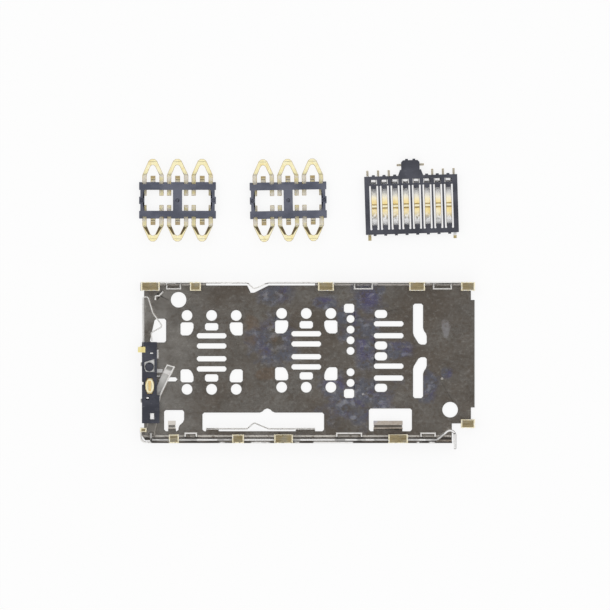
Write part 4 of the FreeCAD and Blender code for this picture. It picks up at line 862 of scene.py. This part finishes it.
# Painted shade: the rounded flanks of the push rod and the detection spring are laid dark, for the dark
# outlines that shade gives them.
SHADED_FLANK = StripSteel("painted_shade_strip_flank", clean=(0.30, 0.29, 0.275), dull=(0.15, 0.145, 0.14), roughness=0.30)
COPPER = StripSteel("bare_copper_edge", clean=(0.52, 0.38, 0.20), dull=(0.34, 0.24, 0.13), roughness=0.4)
SIM_A_GOLD = SimGold("sim_a_contact_gold")
SIM_B_GOLD = SimGold("sim_b_contact_gold", column=-1.84)
SPOT_GOLD = SpotGold("spot_gold_plate", clean=(0.95, 0.78, 0.38), worn=(0.96, 0.90, 0.72),
                     deep=(0.84, 0.60, 0.20), roughness=0.34)
CREST_GOLD = GoldPlate("deep_gold_crest", clean=(0.93, 0.70, 0.32), worn=(0.97, 0.84, 0.55),
                       deep=(0.66, 0.43, 0.15), roughness=0.62)
TAIL_GOLD = GoldPlate("bright_gold_plate", clean=(0.97, 0.86, 0.42), worn=(0.98, 0.93, 0.70),
                      roughness=0.62)
DISH_GOLD = GoldPlate("contact_dish_gold", clean=(0.98, 0.91, 0.64), deep=(0.93, 0.76, 0.36),
                      roughness=0.40)
FEET_GOLD = GoldPlate("gold_solder_foot", clean=(0.86, 0.70, 0.40), worn=(0.82, 0.76, 0.60),
                      deep=(0.46, 0.35, 0.17), streak=Grain((1.3, 9.0, 9.0), 2.0, 2.0), roughness=0.28)
SIM_PLASTIC = Moulding("sim_block_moulding")
CARD_PLASTIC = Moulding("card_block_moulding", body=(0.045, 0.047, 0.062), bloom=(0.075, 0.078, 0.10))
DARK_PLASTIC = Moulding("switch_moulding", body=(0.030, 0.032, 0.046), bloom=(0.055, 0.058, 0.078))
PAPER = StudioPaper("studio_paper")


class Side(Enum):
    """Which surface of a stamped piece a face belongs to."""

    ROLLED = 0
    CUT = 1
    PLATED = 2


@dataclass
class Assembly(ABC):
    """A group of solids that are dressed together."""

    title: str
    merge: float = 0.001
    sharp: float = 40.0
    steps: int = 3
    leaning: float = 0.7
    bar_corner: float = 0.02
    bar_steps: int = 2

    def coat(self, node: str, *finishes: Finish) -> None:
        """Give a whole solid one finish.

        Args:
            node: Name of the solid.
            finishes: Its finish, then any others for its rounded edges.
        """
        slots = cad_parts[node].data.materials
        slots.clear()
        for finish in finishes:
            slots.append(finish.material)

    def coat_faces(self, node: str, finishes: Sequence[Finish],
                   choose: Callable[[Vector, Vector, float], Side]) -> None:
        """Give the faces of a solid several finishes.

        Args:
            node: Name of the solid.
            finishes: One finish for each choice, in order.
            choose: Takes a face's centre, its normal and its height, in millimetres.
        """
        self.coat(node, *finishes)
        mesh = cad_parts[node].data
        for face in mesh.polygons:
            levels = [mesh.vertices[corner].co.z / MM for corner in face.vertices]
            side = choose(face.center / MM, face.normal, max(levels) - min(levels))
            face.material_index = side.value

    def ease(self, node: str, width: float, rim: int = -1) -> None:
        """Round a solid's sharp edges.

        Args:
            node: Name of the solid.
            width: Width of the rounding, in millimetres.
            rim: Number of the finish on the rounding, or -1 for that of its neighbours.
        """
        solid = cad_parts[node]
        joined = solid.modifiers.new("joined_corners", "WELD")
        joined.merge_threshold = self.merge * MM
        rounding = solid.modifiers.new("eased_edges", "BEVEL")
        rounding.width = width * MM
        rounding.segments = self.steps
        rounding.limit_method = "ANGLE"
        rounding.angle_limit = math.radians(self.sharp)
        rounding.use_clamp_overlap = False
        rounding.material = rim

    def finish_piece(self, name: str, made: bmesh.types.BMesh, finish: Finish, slot: str) -> None:
        """Turn a shape into a piece that rides on the reader.

        Args:
            name: Name of the new piece.
            made: Its shape, which is freed.
            finish: Its surface.
            slot: Not used.
        """
        mesh = bpy.data.meshes.new(name)
        made.to_mesh(mesh)
        made.free()
        mesh.materials.append(finish.material)
        piece = bpy.data.objects.new(name, mesh)
        bpy.context.scene.collection.objects.link(piece)
        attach(piece, "reader")
        log.info("added %s", name)

    def add_bar(self, name: str, place: Place, span: Span) -> None:
        """Add a flat bar of bright steel with rounded edges.

        Args:
            name: Name of the new piece.
            place: Middle along X and Y, length and width, in millimetres.
            span: Levels of its underside and its top, in millimetres.
        """
        x, y, length, width = place
        low, high = span
        bar = bmesh.new()
        middle = Matrix.Translation((x * MM, y * MM, (low + high) / 2 * MM))
        shape = Matrix.Diagonal((length * MM, width * MM, (high - low) * MM, 1.0))
        bmesh.ops.create_cube(bar, size=1.0, matrix=middle @ shape)
        bmesh.ops.bevel(bar, geom=bar.edges[:], offset=self.bar_corner * MM, offset_type="OFFSET",
                        affect="EDGES", segments=self.bar_steps, profile=0.5, material=-1)
        self.finish_piece(name, bar, TINNED, "bright_steel")

    @abstractmethod
    def dress(self) -> None:
        """Give every solid of the group its finish."""


@dataclass
class StampedShell(Assembly):
    """The shell: roof, walls, solder feet, guides, rails and detents of one sheet."""

    title: str = "stamped shell"
    node: str = "shell"
    sheet: float = 0.15
    foot: float = 1.38
    rail_span: Span = (-13.2, -11.9)
    rail_level: float = 0.7
    slack: float = 0.01
    upward: float = 0.95
    upright: float = 0.3
    foot_rim: float = 0.12
    rim_share: float = 0.45
    flat: Span = (0.985, 0.998)
    facing_from: float = 0.3

    def choose(self, centre: Vector, normal: Vector, height: float) -> Side:
        """Tell rolled faces, cut edges and plated feet apart.

        Args:
            centre: Middle of the face.
            normal: Its outward direction.
            height: How far it reaches along Z.

        Returns:
            The surface that the face belongs to.
        """
        if centre.z > self.foot and normal.z > self.leaning:
            return Side.PLATED
        on_rail = self.rail_span[0] < centre.y < self.rail_span[1] and centre.z > self.rail_level
        if normal.z > self.upward and centre.z > self.sheet + self.slack and not on_rail:
            return Side.CUT
        if abs(normal.z) < self.upright and height < self.sheet + self.slack:
            return Side.CUT
        return Side.ROLLED

    def mark_rims(self) -> bpy.types.NodeTree:
        """Join the sheet's corners and mark the edges of its upper faces for rounding.

        Returns:
            Nodes that leave a weight on each edge: 1 on a solder foot, rim_share elsewhere.
        """
        tree = bpy.data.node_groups.new("shell_rims", "GeometryNodeTree")
        for way in ("INPUT", "OUTPUT"):
            tree.interface.new_socket("Sheet", in_out=way, socket_type="NodeSocketGeometry")
        graph = Graph(tree)
        loose = graph.wire("NodeGroupInput", {}, {})
        sheet = graph.wire("GeometryNodeMergeByDistance", {}, {
            "Geometry": loose, "Distance": self.merge * MM})
        turn = graph.wire("GeometryNodeInputMeshEdgeAngle", {}, {}, "Unsigned Angle")
        normal = graph.wire("GeometryNodeInputNormal", {}, {})
        upward = graph.ramp(graph.vector("DOT_PRODUCT", normal, (0.0, 0.0, 1.0), "Value"), *self.flat)
        facing = graph.wire("GeometryNodeFieldOnDomain", {"domain": "FACE"}, {"Value": upward})
        place = graph.wire("GeometryNodeInputPosition", {}, {})
        level = graph.vector("DOT_PRODUCT", place, (0.0, 0.0, 1 / MM), "Value")
        on_foot = graph.math("GREATER_THAN", level, self.foot)
        corner = graph.math("GREATER_THAN", turn, math.radians(self.sharp))
        rim = corner * graph.math("GREATER_THAN", facing, self.facing_from)
        weight = rim * (self.rim_share + on_foot * (1 - self.rim_share))
        marked = graph.wire("GeometryNodeStoreNamedAttribute", {"domain": "EDGE", "data_type": "FLOAT"}, {
            "Geometry": sheet, "Name": "bevel_weight_edge", "Value": weight})
        graph.node("NodeGroupOutput", {}, {0: marked})
        return tree

    def round_rims(self) -> None:
        """Round the edges that are seen from above, as the press leaves them."""
        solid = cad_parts[self.node]
        solid.modifiers.new("marked_rims", "NODES").node_group = self.mark_rims()
        rounding = solid.modifiers.new("rounded_rims", "BEVEL")
        rounding.width = self.foot_rim * MM
        rounding.segments = self.steps
        rounding.limit_method = "WEIGHT"
        rounding.use_clamp_overlap = False
        rounding.material = Side.CUT.value

    def dress(self) -> None:
        """Rolled sheet, bright cut edges and gold feet."""
        self.coat_faces(self.node, (SHEET, EDGE, FEET_GOLD), self.choose)
        self.round_rims()


@dataclass
class Ejector(Assembly):
    """The push rod, the lever that it turns and the lever's rivet."""

    title: str = "eject mechanism"
    lever_rim: float = 0.6
    rounding: float = 0.04
    rod_rounding: float = 0.05

    def rim_on_top(self, centre: Vector, normal: Vector, height: float) -> Side:
        """Cut edge on the lever's upstanding rim, rolled strip on its plate."""
        return Side.CUT if centre.z > self.lever_rim and normal.z > self.leaning else Side.ROLLED

    def dress(self) -> None:
        """Rod brighter in stretches with flanks laid dark as painted shade, satin lever with a cut rim,
        tinned rivet.
        """
        # painted shade on the rod's rounded flanks
        self.coat("push_rod", ROD_EDGE, SHADED_FLANK)
        self.ease("push_rod", self.rod_rounding, Side.CUT.value)
        self.coat_faces("eject_lever", (LEVER, EDGE), self.rim_on_top)
        self.ease("eject_lever", self.rounding)
        self.coat("lever_rivet", TINNED)


@dataclass
class CardSwitch(Assembly):
    """The card switch: dark housing, spring loop, fixed contact, retainer, solder tail and pin ends."""

    title: str = "card switch"
    rounding: float = 0.04
    spring_rounding: float = 0.02
    pins: Mapping[str, Place] = field(default_factory=lambda: {
        "slit_pin": (-15.95, -5.09, 0.30, 0.12),
        "side_pin": (-16.86, -8.19, 0.12, 0.28),
        "end_pin": (-16.36, -9.70, 0.24, 0.16)})
    pin_span: Span = (1.0, 1.28)
    dish_middle: Triple = (-16.15, -8.47, 1.1)
    dish_profile: tuple[Span, ...] = (
        (0.0, 0.07), (0.16, 0.055), (0.22, 0.042), (0.27, 0.042), (0.35, 0.085), (0.43, 0.125),
        (0.46, 0.11), (0.46, -0.06))
    dish_stretch: float = 1.75
    dish_steps: int = 32
    rivet_end: Place = (-15.90, -11.59, 0.42, 0.64)
    rivet_span: Span = (0.63, 1.22)
    rest_strips: tuple[Place, ...] = ((-15.17, -6.93, 0.66, 0.38), (-15.30, -7.47, 0.42, 0.16))
    strip_span: Span = (0.15, 0.195)

    def add_dish(self) -> None:
        """Add the dished contact spot with its raised button, turned from its profile."""
        dish = bmesh.new()
        points = [dish.verts.new((radius, 0.0, rise)) for radius, rise in self.dish_profile]
        line = [dish.edges.new(pair) for pair in zip(points, points[1:])]
        bmesh.ops.spin(dish, geom=points + line, cent=(0.0, 0.0, 0.0), axis=(0.0, 0.0, 1.0),
                       angle=math.tau, steps=self.dish_steps, use_merge=True)
        bmesh.ops.remove_doubles(dish, verts=dish.verts[:], dist=self.merge)
        bmesh.ops.recalc_face_normals(dish, faces=dish.faces[:])
        bmesh.ops.scale(dish, vec=(MM, self.dish_stretch * MM, MM), verts=dish.verts[:])
        bmesh.ops.translate(dish, vec=Vector(self.dish_middle) * MM, verts=dish.verts[:])
        for face in dish.faces:
            face.smooth = True
        self.finish_piece("contact_dish", dish, DISH_GOLD, "gold_plate")

    def dress(self) -> None:
        """Dark moulding with spring strip and gold parts."""
        self.coat("switch_housing", DARK_PLASTIC)
        self.ease("switch_housing", self.rounding)
        # painted shade on the spring's rounded flanks
        self.coat("detect_spring", EDGE, SHADED_FLANK)
        self.ease("detect_spring", self.spring_rounding, Side.CUT.value)
        self.coat("detect_contact", CREST_GOLD)
        self.coat("retainer_plate", TINNED)
        self.coat("switch_tail", TAIL_GOLD)
        self.add_dish()
        self.add_bar("rivet_end", self.rivet_end, self.rivet_span)
        for name, place in self.pins.items():
            self.add_bar(name, place, self.pin_span)
        for count, place in enumerate(self.rest_strips, 1):
            self.add_bar(f"rest_strip_{count}", place, self.strip_span)


@dataclass
class ContactBlock(Assembly):
    """A moulded frame with its row of gold spring contacts."""

    prefix: str = "sim_a"
    contacts: int = 6
    plastic: Finish = SIM_PLASTIC
    plate: Finish = SIM_A_GOLD
    pins: tuple[str, ...] = ()
    rounding: float = 0.05
    strip_rounding: float = 0.035

    def dress(self) -> None:
        """Moulded frame, gold contacts and gold pins."""
        self.coat(f"{self.prefix}_frame", self.plastic)
        self.ease(f"{self.prefix}_frame", self.rounding)
        for place in range(1, self.contacts + 1):
            self.coat(f"{self.prefix}_contact_{place}", self.plate, COPPER)
            self.ease(f"{self.prefix}_contact_{place}", self.strip_rounding, Side.CUT.value)
        for pin in self.pins:
            self.coat(pin, self.plate)


@dataclass
class CardBlock(ContactBlock):
    """The microSD block, whose contacts each show a tinned tab in a window of the frame."""

    title: str = "microSD block"
    prefix: str = "sd"
    contacts: int = 8
    plastic: Finish = CARD_PLASTIC
    plate: Finish = SPOT_GOLD
    pins: tuple[str, ...] = ("sd_pin_left", "sd_pin_right")
    tab_first: Span = (6.90, 12.66)
    tab_step: Span = (1.10, 0.031)
    tab_size: Span = (0.48, 0.24)
    tab_span: Span = (0.1, 0.54)

    def dress(self) -> None:
        """Dress the block, then stand a tab on each contact."""
        super().dress()
        for count in range(self.contacts):
            middle = (first + count * step for first, step in zip(self.tab_first, self.tab_step))
            self.add_bar(f"sd_tab_{count + 1}", (*middle, *self.tab_size), self.tab_span)


@dataclass
class Studio:
    """Paper floor, a light tent with a dark opening above, and the camera that looks straight down."""

    floor_size: float = 900.0
    floor_gap: float = 0.02
    tent: float = 1.0
    opening: float = 0.16
    opening_rim: Span = (0.90, 0.992)
    aim: Span = (-0.15, -0.127)
    view_width: float = 62.9
    distance: float = 560.0
    aim_level: float = 0.7
    sensor: float = 36.0
    clip_near: float = 10.0

    def lay_floor(self) -> None:
        """Lay the sheet of paper just under the set."""
        sheet = bmesh.new()
        bmesh.ops.create_grid(sheet, x_segments=1, y_segments=1, size=self.floor_size * MM / 2,
                              matrix=Matrix.Translation((0.0, 0.0, -self.floor_gap * MM)))
        mesh = bpy.data.meshes.new("paper_floor")
        sheet.to_mesh(mesh)
        sheet.free()
        mesh.materials.append(PAPER.material)
        floor = bpy.data.objects.new("paper_floor", mesh)
        bpy.context.scene.collection.objects.link(floor)

    def hang_tent(self) -> None:
        """Light the set from all sides, with a dark opening round the camera."""
        world = bpy.data.worlds.new("light_tent")
        world.use_nodes = True
        bpy.context.scene.world = world
        graph = Graph(world.node_tree)
        ray = graph.wire("ShaderNodeTexCoord", {}, {}, "Generated")
        rise = graph.wire("ShaderNodeSeparateXYZ", {}, {"Vector": ray}, "Z")
        closed = 1 - graph.ramp(rise, *self.opening_rim)
        camera = graph.wire("ShaderNodeLightPath", {}, {}, "Is Camera Ray")
        shown = camera | self.opening + closed * (self.tent - self.opening)
        sky = graph.node("ShaderNodeBackground", {}, {"Color": WHITE, "Strength": shown})
        end = graph.node("ShaderNodeOutputWorld", {}, {})
        world.node_tree.links.new(sky.outputs[0], end.inputs["Surface"])

    def set_camera(self) -> None:
        """Hang the camera over the set with a long lens."""
        lens = bpy.data.cameras.new("studio_camera")
        lens.sensor_width = self.sensor
        lens.lens = self.sensor * (self.distance - self.aim_level) / self.view_width
        lens.clip_start = self.clip_near * MM
        camera = bpy.data.objects.new("studio_camera", lens)
        camera.location = Vector((*self.aim, self.distance)) * MM
        bpy.context.scene.collection.objects.link(camera)
        bpy.context.scene.camera = camera

    def build(self) -> None:
        """Set up the floor, the light and the camera."""
        self.lay_floor()
        self.hang_tent()
        self.set_camera()
        bpy.context.scene.view_settings.view_transform = "Standard"


def main() -> None:
    """Dress each group of solids, then set up the studio."""
    groups: list[Assembly] = [
        StampedShell(),
        Ejector(),
        CardSwitch(),
        ContactBlock("SIM block a", prefix="sim_a"),
        ContactBlock("SIM block b", prefix="sim_b", plate=SIM_B_GOLD),
        CardBlock(),
    ]
    for group in groups:
        group.dress()
        log.info("dressed %s", group.title)
    Studio().build()
    log.info("studio ready")


if __name__ == "__main__":
    logging.basicConfig(level=logging.INFO)
    main()
